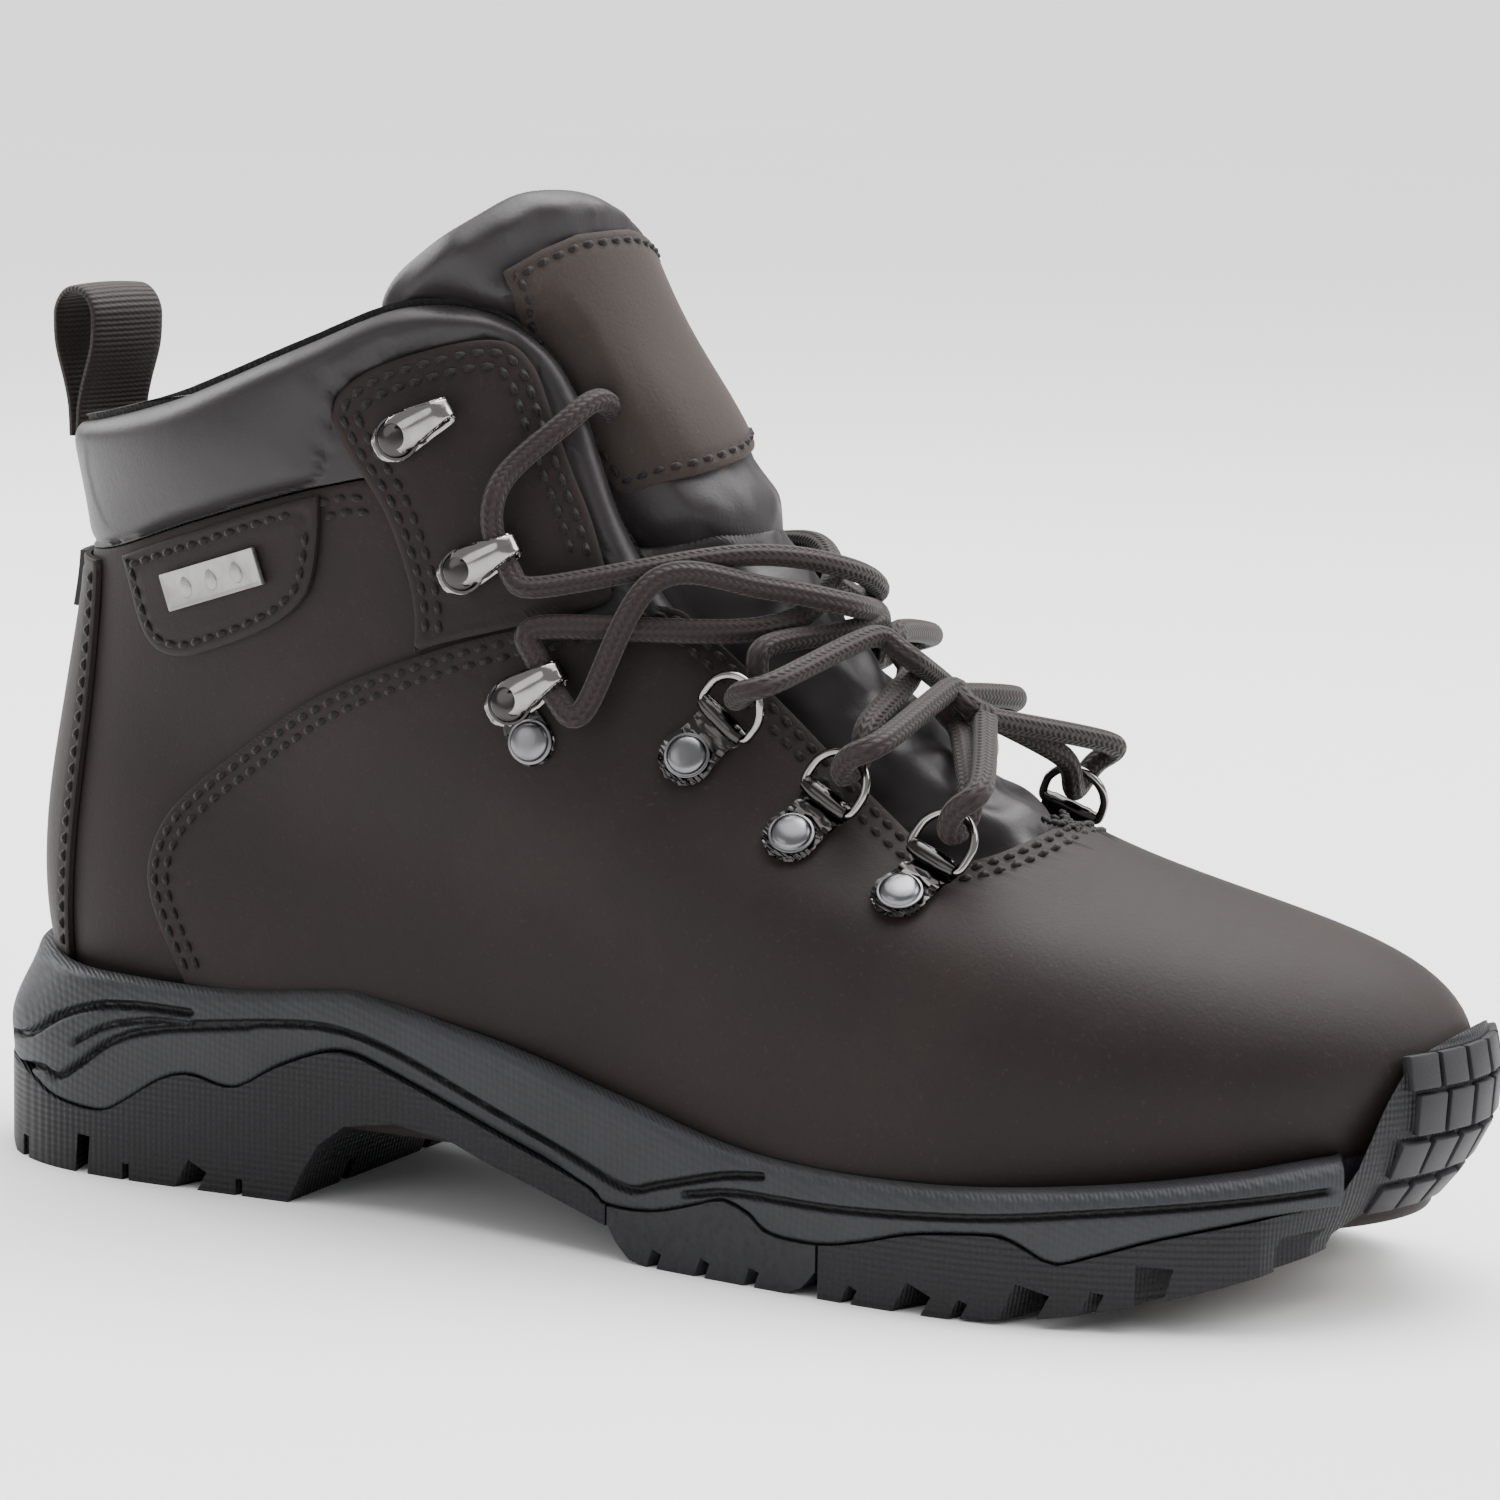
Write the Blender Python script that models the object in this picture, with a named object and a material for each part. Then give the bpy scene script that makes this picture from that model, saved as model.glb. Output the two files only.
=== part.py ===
"""Lace-up hiking boot for the right foot, about size 43, as separate pieces.

Everything is laid out in millimetres in the shoemaker's own frame: x runs from the back
of the heel to the toe, y from the outer side (negative) to the inner side, z up from the
ground. make() moves the finished pieces so that the middle of the boot's footprint is at
the origin, and turns millimetres into metres.

The upper follows one last. A place on it is an angle, 0 at the back of the heel and
+-180 down the front (negative on the outer side), and a level, 0 at the feather edge
above the sole to 7 at the top of the ankle.
"""
import math

import bmesh
import bpy
import numpy as np
from mathutils import Matrix, Vector

MM = 0.001
MIDDLE_X = 157.0
MIDDLE_Y = 0.5
GAP = 0.3

# Each level of the last: back (x, z), front (x, z), sideways shift of the front, and the
# half widths on the outer and the inner side every 22.5 degrees from back to front.
LAST = [
    ((15, 24), (302, 26), 7, (22, 31, 32, 40, 51, 44, 24), (22, 30, 26, 31, 44, 39, 23)),
    ((8, 47), (309, 47.5), 7, (24, 34, 35, 41, 50, 44, 26), (24, 33, 30, 36, 47, 41, 24)),
    ((7, 70), (293, 64), 6, (23, 34, 35, 40, 45, 36, 18), (23, 33, 33, 38, 42, 32, 16)),
    ((10, 90), (252, 75), 4, (21, 32, 36, 39, 39, 29, 14), (21, 31, 35, 38, 38, 28, 14)),
    ((14, 109), (210.5, 94), 2, (20, 31, 37, 39, 35, 26, 13), (20, 31, 36, 38, 34, 25, 13)),
    ((17, 127), (176, 126), 0, (20, 31, 37, 39, 35, 26, 13), (20, 31, 37, 39, 35, 26, 13)),
    ((15, 145), (151, 160), 0, (21, 32, 39, 41, 37, 28, 14), (21, 32, 39, 41, 37, 28, 14)),
    ((12, 158), (133, 194.5), 0, (21, 33, 40, 42, 38, 29, 15), (21, 33, 40, 42, 38, 29, 15)),
]
ANGLE_STEP = 22.5
BELOW_FEATHER = 22.0  # how far one level reaches below the feather edge

# Layers of the upper, as distances out from the last's surface (outer, inner).
OVERLAY = (2.0, 0.4)
QUARTER = (0.0, -1.7)
STIFFENER = (-2.1, -2.9)
LINING = (-3.3, -5.0)
SOLE_FIT = 2.4
BOARD_FIT = 1.8
FOOTBED_FIT = -5.5

# Side outlines (x, z) of the leather pieces.
VAMP_EDGE = [(55, 0), (55, 41), (47, 58), (47, 68), (53, 78), (68, 90), (90, 104), (117, 115),
             (139, 121), (152, 124), (161, 122), (168, 117), (176, 109), (197, 91), (219, 78)]
VAMP_OUTLINE = VAMP_EDGE + [(226, 81), (237, 91), (250, 110), (340, 110), (340, 0)]
QUARTER_OUTLINE = [(-20, 0), (-20, 125.4), (33, 127.4), (59, 135.4), (90, 144.4), (105, 145.4),
                   (125, 132.4), (141, 120.4), (150, 116), (141, 113.5), (119, 107), (93, 96),
                   (75, 84), (62, 75), (56, 67), (56, 59), (63, 42), (63, 0)]
COLLAR_BOTTOM = [(-20, 126), (33, 128), (59, 136), (90, 145), (105, 146), (125, 133), (141, 121),
                 (152, 116), (162, 121)]
COLLAR_TOP = [(154, 130), (147, 141), (137.5, 162), (130, 173), (119, 180), (104, 180), (85, 172),
              (64, 163), (50, 158), (30, 153), (8, 150), (-20, 149)]
EYESTAY_OUTLINE = [(92, 160), (96, 166), (108, 171), (121, 174), (126, 172), (131, 163), (137, 150),
                   (142, 140), (147, 129), (147, 125), (139, 122), (117, 116.5), (110, 114),
                   (110, 124), (103, 141), (95, 152)]
ANKLE_OUTLINE = [(38, 126.5), (60, 134), (89, 143), (88, 130), (85, 122), (76, 116), (62, 110),
                 (50, 108), (44, 111), (40, 118)]
BACKSTAY_OUTLINE = [(-20, 0), (22, 0), (22, 39), (25, 80), (28, 112), (29, 124.5), (-20, 124.5)]
LINING_OUTLINE = [(-20, 0), (-20, 147), (8, 148), (30, 151), (50, 156), (64, 161), (85, 170),
                  (104, 177), (117, 177), (128, 170.5), (135.5, 160), (145, 139.5), (152.5, 128),
                  (160, 117), (172.2, 103.8), (193.2, 86.8), (216, 73.5), (224, 76), (236, 86),
                  (340, 100), (340, 0)]
COUNTER_OUTLINE = [(-20, 0), (-20, 82), (30, 80), (70, 62), (84, 40), (84, 0)]
PUFF_OUTLINE = [(258, 0), (262, 90), (340, 90), (340, 0)]
BADGE_OUTLINE = [(51, 124), (76, 132), (77, 125), (52, 117)]

# Sole: heights along the boot, as (x, z).
FLOOR = [(-10, 34), (80, 34), (100, 31), (130, 25), (160, 20.5), (200, 19), (240, 19.5),
         (280, 22), (305, 27), (320, 30)]
SOLE_RIM = [(-10, 49), (10, 47), (24, 43), (62, 41), (92, 44), (99, 43), (112, 41), (134, 37),
            (156, 31), (188, 25), (224, 24), (261, 26), (285, 29), (296.6, 32)]
HEEL_TOP = [(-10, 18), (20, 15), (36, 14), (50, 20), (60, 21), (68, 20), (88, 25), (100, 24),
            (115, 21), (128, 17.5), (145, 12.5), (157, 10)]
HEEL_UNDERSIDE = [(-10, 9), (4, 2), (9, 0), (81, 0), (91, 17), (106, 18.5), (119, 17), (128, 14),
                  (157, 6.5)]
POD_TOP = [(157.6, 9.7), (170, 10.5), (184, 12), (195, 10.5), (205.4, 10)]
POD_UNDERSIDE = [(157.6, 5), (162, 1.5), (166, 0), (200, 0), (203, 2), (205.4, 5)]
FORE_TOP = [(206, 10), (226, 12.5), (241, 13), (253, 11.5), (271, 14), (285, 15.8), (296.6, 19)]
TOE_SPRING_START, TOE_SPRING_REACH, TOE_SPRING = 225.0, 80.0, 18.0
TOE_CAP_TOP = 54.0
TOE_CAP_START = 297.0
OUTER_EDGE = [(-2, 0), (2, -17), (14, -31), (36, -38), (85, -38), (110, -39), (140, -43),
              (170, -48), (200, -52), (225, -54), (245, -53), (267, -47), (288, -36), (304, -20),
              (313, -3)]
INNER_EDGE = [(316, 12), (310, 27), (295, 40), (272, 51), (247, 55), (220, 54), (190, 48),
              (160, 40), (130, 36), (105, 36), (80, 37), (36, 38), (14, 31), (2, 17)]

# Metal fittings, as (x, z) of the rivet and of the point each one looks towards.
CLIPS = [((166, 96), (174, 106)), ((189, 82), (196, 92)), ((213, 73), (220, 82))]
HOOKS = [((106, 155), (116, 161)), ((120, 130), (131, 136)), ((131, 105), (142, 112))]
SECOND_RIVET = 8.6
METAL_BASE = 2.7
PLATE = 0.9
CLIP_WIDTH, CLIP_TAIL, BAR_AT = 9.0, 5.5, 9.6
BAR_HEIGHT, RING_WIRE, CURL_INNER = 2.0, 1.0, 1.3
RING_REACH, RING_HALF_WIDTH, RING_TILT = 9.6, 6.3, 32.0
HOOK_WIDTH, HOOK_BEND, HOOK_FOLD_AT, HOOK_END_AT = 8.0, 3.35, 10.0, 2.2
RIVET_RADIUS, RIVET_DOME, RIVET_SHANK = 4.0, 1.9, 1.3

LACE_RADIUS = 2.25
RING_TURN = 4.7
LACE_CLEAR_LOW, LACE_CLEAR_HIGH = 4.5, 9.5

LOOP_BASE = (13.0, 1.0, 153.0)
LOOP_WIDTH, LOOP_HEIGHT, LOOP_DEPTH, LOOP_TAPE, LOOP_YAW = 19.0, 25.0, 10.0, 1.5, 15.0

TONGUE_HINGE_LEVEL = 5.25


# ---------------------------------------------------------------- the last
def moment_matrix(count):
    """Turns values at 0, 1, 2 ... into a natural spline's second derivatives there."""
    system, load = np.eye(count), np.zeros((count, count))
    for i in range(1, count - 1):
        system[i, i - 1:i + 2] = (1, 4, 1)
        load[i, i - 1:i + 2] = (6, -12, 6)
    return np.linalg.solve(system, load)


def cubic(v0, v1, m0, m1, part):
    rest = 1 - part
    return rest * v0 + part * v1 + ((rest**3 - rest) * m0 + (part**3 - part) * m1) / 6


class Spline:
    def __init__(self, values):
        self.values = np.array(values, float)
        self.moments = moment_matrix(len(self.values)) @ self.values

    def at(self, place):
        first = np.clip(np.floor(place).astype(int), 0, len(self.values) - 2)
        part = place - first
        if self.values.ndim == 2:
            part = part[:, None]
        return cubic(self.values[first], self.values[first + 1],
                     self.moments[first], self.moments[first + 1], part)


BACK, FRONT, SHIFT, OUTER, INNER = (Spline([row[i] for row in LAST]) for i in range(5))
AROUND = moment_matrix(9)


def half_width(rows, place):
    """Half widths read along each row, which is zero at both ends."""
    full = np.pad(rows, ((0, 0), (1, 1)))
    bends = full @ AROUND.T
    first = np.clip(np.floor(place).astype(int), 0, 7)
    each = np.arange(len(place))
    return cubic(full[each, first], full[each, first + 1],
                 bends[each, first], bends[each, first + 1], place - first)


def bare(angle, level):
    angle, level = np.broadcast_arrays(np.atleast_1d(np.asarray(angle, float)),
                                       np.atleast_1d(np.asarray(level, float)))
    angle = (angle + 180) % 360 - 180
    below, level = np.minimum(level, 0), np.maximum(level, 0)
    back, front = BACK.at(level), FRONT.at(level)
    along = (1 - np.cos(np.radians(angle))) / 2
    rows = np.where(angle[:, None] < 0, OUTER.at(level), INNER.at(level))
    side = np.where(angle < 0, -1, 1)
    y = SHIFT.at(level) * along**2 + side * half_width(rows, np.abs(angle) / ANGLE_STEP)
    x = back[:, 0] + (front[:, 0] - back[:, 0]) * along
    z = back[:, 1] + (front[:, 1] - back[:, 1]) * along + below * BELOW_FEATHER
    return np.stack([x, y, z], -1)


def normal(angle, level):
    angle, level = np.atleast_1d(np.asarray(angle, float)), np.asarray(level, float)
    around = bare(angle + 0.5, level) - bare(angle - 0.5, level)
    upward = bare(angle, level + 0.03) - bare(angle, level - 0.03)
    out = np.cross(upward, around)
    return out / np.linalg.norm(out, axis=1, keepdims=True)


def skin(angle, level, offset=0.0):
    """Points at a distance out from the last."""
    offset = np.atleast_1d(np.asarray(offset, float))
    return bare(angle, level) + normal(angle, level) * offset[:, None]


def locate(x, z, side):
    """The angle and level whose side view place is (x, z)."""
    def miss(level):
        back, front = BACK.at(np.array([level]))[0], FRONT.at(np.array([level]))[0]
        run = front - back
        return run[0] * (z - back[1]) - run[1] * (x - back[0])
    low, high = 0.0, 7.6
    for _ in range(40):
        middle = (low + high) / 2
        if miss(middle) > 0:
            low = middle
        else:
            high = middle
    back, front = BACK.at(np.array([low]))[0], FRONT.at(np.array([low]))[0]
    along = (x - back[0]) / (front[0] - back[0])
    angle = math.degrees(math.acos(max(-1.0, min(1.0, 1 - 2 * along))))
    return side * angle, low


# ---------------------------------------------------------------- building blocks
def material(name, colour, roughness, metallic=0.0):
    made = bpy.data.materials.new(name)
    made.use_nodes = True
    shader = made.node_tree.nodes["Principled BSDF"]
    shader.inputs["Base Color"].default_value = (*colour, 1)
    shader.inputs["Roughness"].default_value = roughness
    shader.inputs["Metallic"].default_value = metallic
    made.diffuse_color = (*colour, 1)
    return made


def make(name, points, faces, finish=None):
    """An object from millimetre points; faces are turned to point outwards."""
    mesh = bpy.data.meshes.new(name)
    shift = np.array([MIDDLE_X, MIDDLE_Y, 0.0])
    mesh.from_pydata([tuple((np.array(p) - shift) * MM) for p in points], [], faces)
    work = bmesh.new()
    work.from_mesh(mesh)
    bmesh.ops.recalc_face_normals(work, faces=work.faces)
    work.to_mesh(mesh)
    work.free()
    thing = bpy.data.objects.new(name, mesh)
    bpy.context.collection.objects.link(thing)
    if finish:
        mesh.materials.append(finish)
    return thing


def cut(target, cutter, operation="INTERSECT"):
    """Keeps what two solids share, or takes one from the other, or joins them."""
    step = target.modifiers.new(cutter.name, "BOOLEAN")
    step.operation = operation
    step.solver = "EXACT"
    step.object = cutter
    cutter.hide_render = True
    cutter.display_type = "WIRE"
    return target


def prism(name, outline, near=-90.0, far=90.0):
    """A side outline pushed across the boot from y near to y far."""
    count = len(outline)
    points = [(x, near, z) for x, z in outline] + [(x, far, z) for x, z in outline]
    faces = [list(range(count)), list(range(count, 2 * count))[::-1]]
    faces += [(i, (i + 1) % count, (i + 1) % count + count, i + count) for i in range(count)]
    return make(name, points, faces)


def shell(name, angles, levels, outer, inner, finish):
    """A layer of the upper between two distances from the last."""
    ring = abs(angles[-1] - angles[0]) > 359
    if ring:
        angles = angles[:-1]
    grid_a, grid_l = (g.ravel() for g in np.meshgrid(angles, levels, indexing="ij"))
    points = []
    for offset in (outer, inner):
        depth = offset(grid_a, grid_l) if callable(offset) else np.full(len(grid_a), offset)
        points += list(skin(grid_a, grid_l, depth))
    rows, half = len(levels), len(grid_a)
    columns = len(angles) if ring else len(angles) - 1
    faces = []

    def corner(i, j, layer):
        return (i % len(angles)) * rows + j + layer * half

    def quad(a, b, c, d):
        faces.extend([(a, b, c), (a, c, d)])

    for i in range(columns):
        for j in range(rows - 1):
            for layer in (0, 1):
                quad(corner(i, j, layer), corner(i + 1, j, layer),
                     corner(i + 1, j + 1, layer), corner(i, j + 1, layer))
        for j in (0, rows - 1):
            quad(corner(i, j, 0), corner(i + 1, j, 0), corner(i + 1, j, 1), corner(i, j, 1))
    if not ring:
        for i in (0, len(angles) - 1):
            for j in range(rows - 1):
                quad(corner(i, j, 0), corner(i, j + 1, 0), corner(i, j + 1, 1), corner(i, j, 1))
    return make(name, points, faces, finish)


def core(name, offset, top_level, finish=None):
    """The solid inside the last's surface at a distance, closed below and above."""
    angles, levels = np.arange(-180, 180, 15.0), np.arange(-1.0, top_level + 0.1, 0.5)
    grid_a, grid_l = (g.ravel() for g in np.meshgrid(angles, levels, indexing="ij"))
    points = list(skin(grid_a, grid_l, np.full(len(grid_a), offset)))
    rows, count = len(levels), len(angles)
    faces = []
    for i in range(count):
        here, there = i * rows, (i + 1) % count * rows
        for j in range(rows - 1):
            faces += [(here + j, there + j, there + j + 1), (here + j, there + j + 1, here + j + 1)]
    for j in (0, rows - 1):
        centre = np.mean([points[i * rows + j] for i in range(count)], axis=0)
        points.append(centre)
        faces += [(i * rows + j, (i + 1) % count * rows + j, len(points) - 1)
                  for i in range(count)]
    return make(name, points, faces, finish)


def full_shell(name, layer, finish, top_level=7.0):
    return shell(name, np.arange(-180, 181, 15.0), np.arange(-0.5, top_level + 0.1, 0.5),
                 layer[0], layer[1], finish)


def heights(line, at):
    return float(np.interp(at, [p[0] for p in line], [p[1] for p in line]))


def slab(name, low, high, near=-90.0, far=90.0, raise_low=0.0, raise_high=0.0):
    """The space between two height lines, across the boot."""
    outline = [(x, z + raise_low) for x, z in low]
    outline += [(x, z + raise_high) for x, z in reversed(high)]
    return prism(name, outline, near, far)


def footprint_block(name, start, end, low, high, finish, near=-90.0, far=90.0):
    """Part of the sole between two x places and two height lines, inside the sole's edge."""
    edge = OUTER_EDGE + INNER_EDGE
    count = len(edge)
    points = [(x, y, -5.0) for x, y in edge] + [(x, y, 70.0) for x, y in edge]
    faces = [list(range(count)), list(range(count, 2 * count))[::-1]]
    faces += [(i, (i + 1) % count, (i + 1) % count + count, i + count) for i in range(count)]
    block = make(name, points, faces, finish)
    bottom = [(x, z) for x, z in low if start < x < end]
    bottom = [(start, heights(low, start))] + bottom + [(end, heights(low, end))]
    top = [(x, z) for x, z in high if start < x < end]
    top = [(start, heights(high, start))] + top + [(end, heights(high, end))]
    return cut(block, slab(name + "_space", bottom, top, near, far))


def stroke(centres, thickness):
    """The outline of a strip of sheet that follows a line."""
    line = np.array(centres, float)
    along = np.gradient(line, axis=0)
    along /= np.linalg.norm(along, axis=1, keepdims=True)
    across = np.stack([-along[:, 1], along[:, 0]], -1) * thickness / 2
    return [tuple(p) for p in line + across] + [tuple(p) for p in (line - across)[::-1]]


def arc(centre, radius, start, end, steps):
    return [(centre[0] + radius * math.cos(math.radians(start + (end - start) * i / steps)),
             centre[1] + radius * math.sin(math.radians(start + (end - start) * i / steps)))
            for i in range(steps + 1)]


class Place:
    """A seat on the upper: origin, forward, across and out, in millimetres."""

    def __init__(self, spot, towards, side, offset):
        angle, level = locate(*spot, side)
        aim_angle, aim_level = locate(*towards, side)
        self.origin = skin(angle, level, offset)[0]
        self.out = normal(angle, level)[0]
        forward = skin(aim_angle, aim_level, offset)[0] - self.origin
        forward -= self.out * (forward @ self.out)
        self.forward = forward / np.linalg.norm(forward)
        self.across = np.cross(self.out, self.forward)

    def point(self, forward, across, out):
        return self.origin + self.forward * forward + self.across * across + self.out * out

    def turned(self, forward, out, degrees):
        """The same seat moved along itself and pitched up about its across direction."""
        other = Place.__new__(Place)
        other.origin = self.point(forward, 0, out)
        other.across = self.across
        c, s = math.cos(math.radians(degrees)), math.sin(math.radians(degrees))
        other.forward = self.forward * c + self.out * s
        other.out = self.out * c - self.forward * s
        return other


def strip(name, place, outline, width, finish, shift=0.0):
    """An outline in a seat's forward and out plane, given a width across it."""
    count = len(outline)
    points = [place.point(a, shift - width / 2, b) for a, b in outline]
    points += [place.point(a, shift + width / 2, b) for a, b in outline]
    faces = [list(range(count)), list(range(count, 2 * count))[::-1]]
    faces += [(i, (i + 1) % count, (i + 1) % count + count, i + count) for i in range(count)]
    return make(name, points, faces, finish)


def turned_solid(name, place, profile, finish, forward=0.0, across=0.0, sides=12):
    """A profile of (radius, height), closed on the axis at both ends, spun round it."""
    points = [place.point(forward, across, profile[0][1])]
    for radius, height in profile[1:-1]:
        for i in range(sides):
            turn = 2 * math.pi * i / sides
            points.append(place.point(forward + radius * math.cos(turn),
                                      across + radius * math.sin(turn), height))
    points.append(place.point(forward, across, profile[-1][1]))
    faces = [(0, 1 + i, 1 + (i + 1) % sides) for i in range(sides)]
    for row in range(len(profile) - 3):
        a = 1 + row * sides
        faces += [(a + i, a + (i + 1) % sides, a + sides + (i + 1) % sides, a + sides + i)
                  for i in range(sides)]
    last, a = len(points) - 1, 1 + (len(profile) - 3) * sides
    faces += [(last, a + i, a + (i + 1) % sides) for i in range(sides)]
    return make(name, points, faces, finish)


def wire(name, points, radius, finish, cyclic=False, resolution=1):
    """A round wire or cord along points, as a curve with a round bevel."""
    shape = bpy.data.curves.new(name, "CURVE")
    shape.dimensions = "3D"
    shape.bevel_depth = radius * MM
    shape.bevel_resolution = resolution
    shape.use_fill_caps = not cyclic
    line = shape.splines.new("POLY")
    line.points.add(len(points) - 1)
    line.use_cyclic_u = cyclic
    for knot, p in zip(line.points, points):
        knot.co = ((p[0] - MIDDLE_X) * MM, (p[1] - MIDDLE_Y) * MM, p[2] * MM, 1)
    shape.materials.append(finish)
    thing = bpy.data.objects.new(name, shape)
    bpy.context.collection.objects.link(thing)
    return thing


# ---------------------------------------------------------------- sole
def toe_spring(x):
    return TOE_SPRING * (max(0.0, x - TOE_SPRING_START) / TOE_SPRING_REACH)**2


def fore_underside():
    return [(x, toe_spring(x)) for x in (206, 225, 240, 255, 270, 285, 300, 320)]


def build_sole(rubber, pod_rubber, foam):
    cavity = core("sole_cavity", SOLE_FIT, 3.0)
    cut(cavity, slab("above_floor", FLOOR, [(-10, 200), (330, 200)], raise_low=-3.1))
    midsole_low = HEEL_TOP + POD_TOP + FORE_TOP
    midsole = footprint_block("midsole", -9, 296.4, [(x, z + GAP) for x, z in midsole_low],
                              SOLE_RIM, foam)
    cut(midsole, cavity, "DIFFERENCE")
    footprint_block("outsole_heel", -9, 157, HEEL_UNDERSIDE, HEEL_TOP, rubber)
    footprint_block("outsole_pod_outer", 157.6, 205.4, POD_UNDERSIDE, POD_TOP, pod_rubber,
                    far=-GAP)
    footprint_block("outsole_pod_inner", 157.6, 205.4, POD_UNDERSIDE, POD_TOP, pod_rubber,
                    near=GAP)
    cap_top = FORE_TOP + [(TOE_CAP_START, TOE_CAP_TOP - 14), (304, TOE_CAP_TOP - 4),
                          (309, TOE_CAP_TOP), (320, TOE_CAP_TOP)]
    fore = footprint_block("outsole_forefoot", 206, 319, fore_underside(), cap_top, rubber)
    cut(fore, cavity, "DIFFERENCE")


def build_insole(board_finish, steel, textile):
    board = core("insole_board", BOARD_FIT, 3.0, board_finish)
    cut(board, slab("board_space", FLOOR, FLOOR, raise_low=-2.6, raise_high=-0.5))
    bed = core("footbed", FOOTBED_FIT, 3.0, textile)
    cut(bed, slab("footbed_space", FLOOR, FLOOR, raise_low=0.0, raise_high=4.5))
    pocket = prism("shank_pocket", shank_outline(0.4), -9.4, 9.4)
    cut(bpy.data.objects["midsole"], pocket, "DIFFERENCE")
    strip_of_steel = prism("shank", shank_outline(0.0), -9.0, 9.0)
    strip_of_steel.data.materials.append(steel)


def shank_outline(grow):
    line = [(x, heights(FLOOR, x) - 4.3) for x in (62, 80, 100, 130, 160, 178)]
    outline = [(x, z - 0.6 - grow) for x, z in line]
    outline += [(x, z + 0.6 + (8.0 if grow else 0.0)) for x, z in reversed(line)]
    outline[0] = (outline[0][0] - grow, outline[0][1])
    outline[-1] = (outline[-1][0] - grow, outline[-1][1])
    return outline


# ---------------------------------------------------------------- upper
def above_floor(name, outline, near=-90.0, far=90.0):
    """A side outline whose lower edge follows the footbed line."""
    xs = [p[0] for p in outline if p[1] == 0]
    start, end = min(xs), max(xs)
    kept = [p for p in outline if p[1] != 0]
    floor = [(start, heights(FLOOR, start))]
    floor += [p for p in FLOOR if start < p[0] < end] + [(end, heights(FLOOR, end))]
    if abs(kept[0][0] - start) < abs(kept[0][0] - end):
        floor = floor[::-1]
    return prism(name, floor + kept, near, far)


def collar_puff(angle, level):
    """The padded roll: nothing beside the lacing panels, fullest round the back."""
    point = bare(angle, level)
    low = np.interp(point[:, 0], [-20, 33, 59, 90], [126, 128, 136, 145])
    high = np.interp(point[:, 0], [-20, 8, 30, 50, 64, 85, 104], [149, 150, 153, 158, 163, 172, 180])
    part = np.clip((point[:, 2] - low) / (high - low), 0, 1)
    fade = np.clip((88 - point[:, 0]) / 25, 0, 1)
    return 4.5 * np.sin(np.pi * part) * fade


def tongue_lift(angle, level):
    """The tongue lies under the flaps at its sides and stands proud between them."""
    away = np.abs((angle + 360) % 360 - 180)
    part = np.clip((38 - away) / 22, 0, 1)
    return -5.8 + 7.0 * part * part * (3 - 2 * part)


def build_upper(leather, patch_leather, padding, lining_textile, board_finish, plate_metal):
    vamp = full_shell("vamp", OVERLAY, leather)
    cut(vamp, above_floor("vamp_outline", VAMP_OUTLINE))
    for side, near, far in (("outer", -90, -0.2), ("inner", 0.2, 90)):
        quarter = full_shell("quarter_" + side, QUARTER, leather)
        cut(quarter, above_floor("quarter_outline_" + side, QUARTER_OUTLINE, near, far))
        edge = -6 if near < 0 else 6
        lower, upper = (near, edge) if near < 0 else (edge, far)
        panel = full_shell("eyestay_" + side, OVERLAY, leather, 7.5)
        cut(panel, prism("eyestay_outline_" + side, EYESTAY_OUTLINE, lower, upper))
        ankle = full_shell("ankle_panel_" + side, OVERLAY, leather)
        cut(ankle, prism("ankle_outline_" + side, ANKLE_OUTLINE, lower, upper))
    backstay = full_shell("backstay", OVERLAY, leather)
    cut(backstay, above_floor("backstay_outline", BACKSTAY_OUTLINE))
    counter = full_shell("heel_counter", STIFFENER, board_finish)
    cut(counter, above_floor("counter_outline", COUNTER_OUTLINE))
    puff = full_shell("toe_puff", QUARTER, board_finish)
    cut(puff, above_floor("puff_outline", PUFF_OUTLINE))
    lining = full_shell("lining", LINING, lining_textile, 7.5)
    cut(lining, above_floor("lining_outline", LINING_OUTLINE))
    collar = full_shell("collar", (collar_puff, STIFFENER[1]), padding, 7.5)
    cut(collar, prism("collar_outline", COLLAR_BOTTOM + COLLAR_TOP))
    badge = full_shell("badge_plate", (3.3, 2.4), plate_metal)
    cut(badge, prism("badge_outline", BADGE_OUTLINE, -90, -6))
    shell("tongue_bellows", np.arange(138, 223, 12.0), np.arange(3.62, 5.2, 0.37),
          tongue_lift, lambda a, l: tongue_lift(a, l) - 3.0, padding)
    shell("tongue_pad", np.arange(156, 205, 8.0), np.array([5.35, 5.8, 6.3, 6.8, 7.2]),
          tongue_lift, lambda a, l: tongue_lift(a, l) - 9.0, padding)
    shell("tongue_patch", np.arange(158, 203, 8.5), np.array([5.8, 6.3, 6.8, 7.0]),
          lambda a, l: tongue_lift(a, l) + 2.2, lambda a, l: tongue_lift(a, l) + 0.8,
          patch_leather)


# ---------------------------------------------------------------- metal fittings
def rivet(name, place, finish, across=0.0):
    base = PLATE + GAP
    dome = [(RIVET_RADIUS, base), (RIVET_RADIUS, base + 0.5)]
    dome += [(RIVET_RADIUS * 0.82, base + 1.2), (RIVET_RADIUS * 0.45, base + RIVET_DOME - 0.2)]
    profile = [(0, 0.0), (RIVET_SHANK, 0.0), (RIVET_SHANK, base)] + dome + [(0, base + RIVET_DOME)]
    return turned_solid(name, place, profile, finish, across=across)


def rivet_hole(name, place, plate, across=0.0):
    hole = turned_solid(name, place, [(0, -2.0), (RIVET_SHANK + 0.4, -2.0),
                                      (RIVET_SHANK + 0.4, 3.0), (0, 3.0)], None, across=across)
    cut(plate, hole, "DIFFERENCE")


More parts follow.
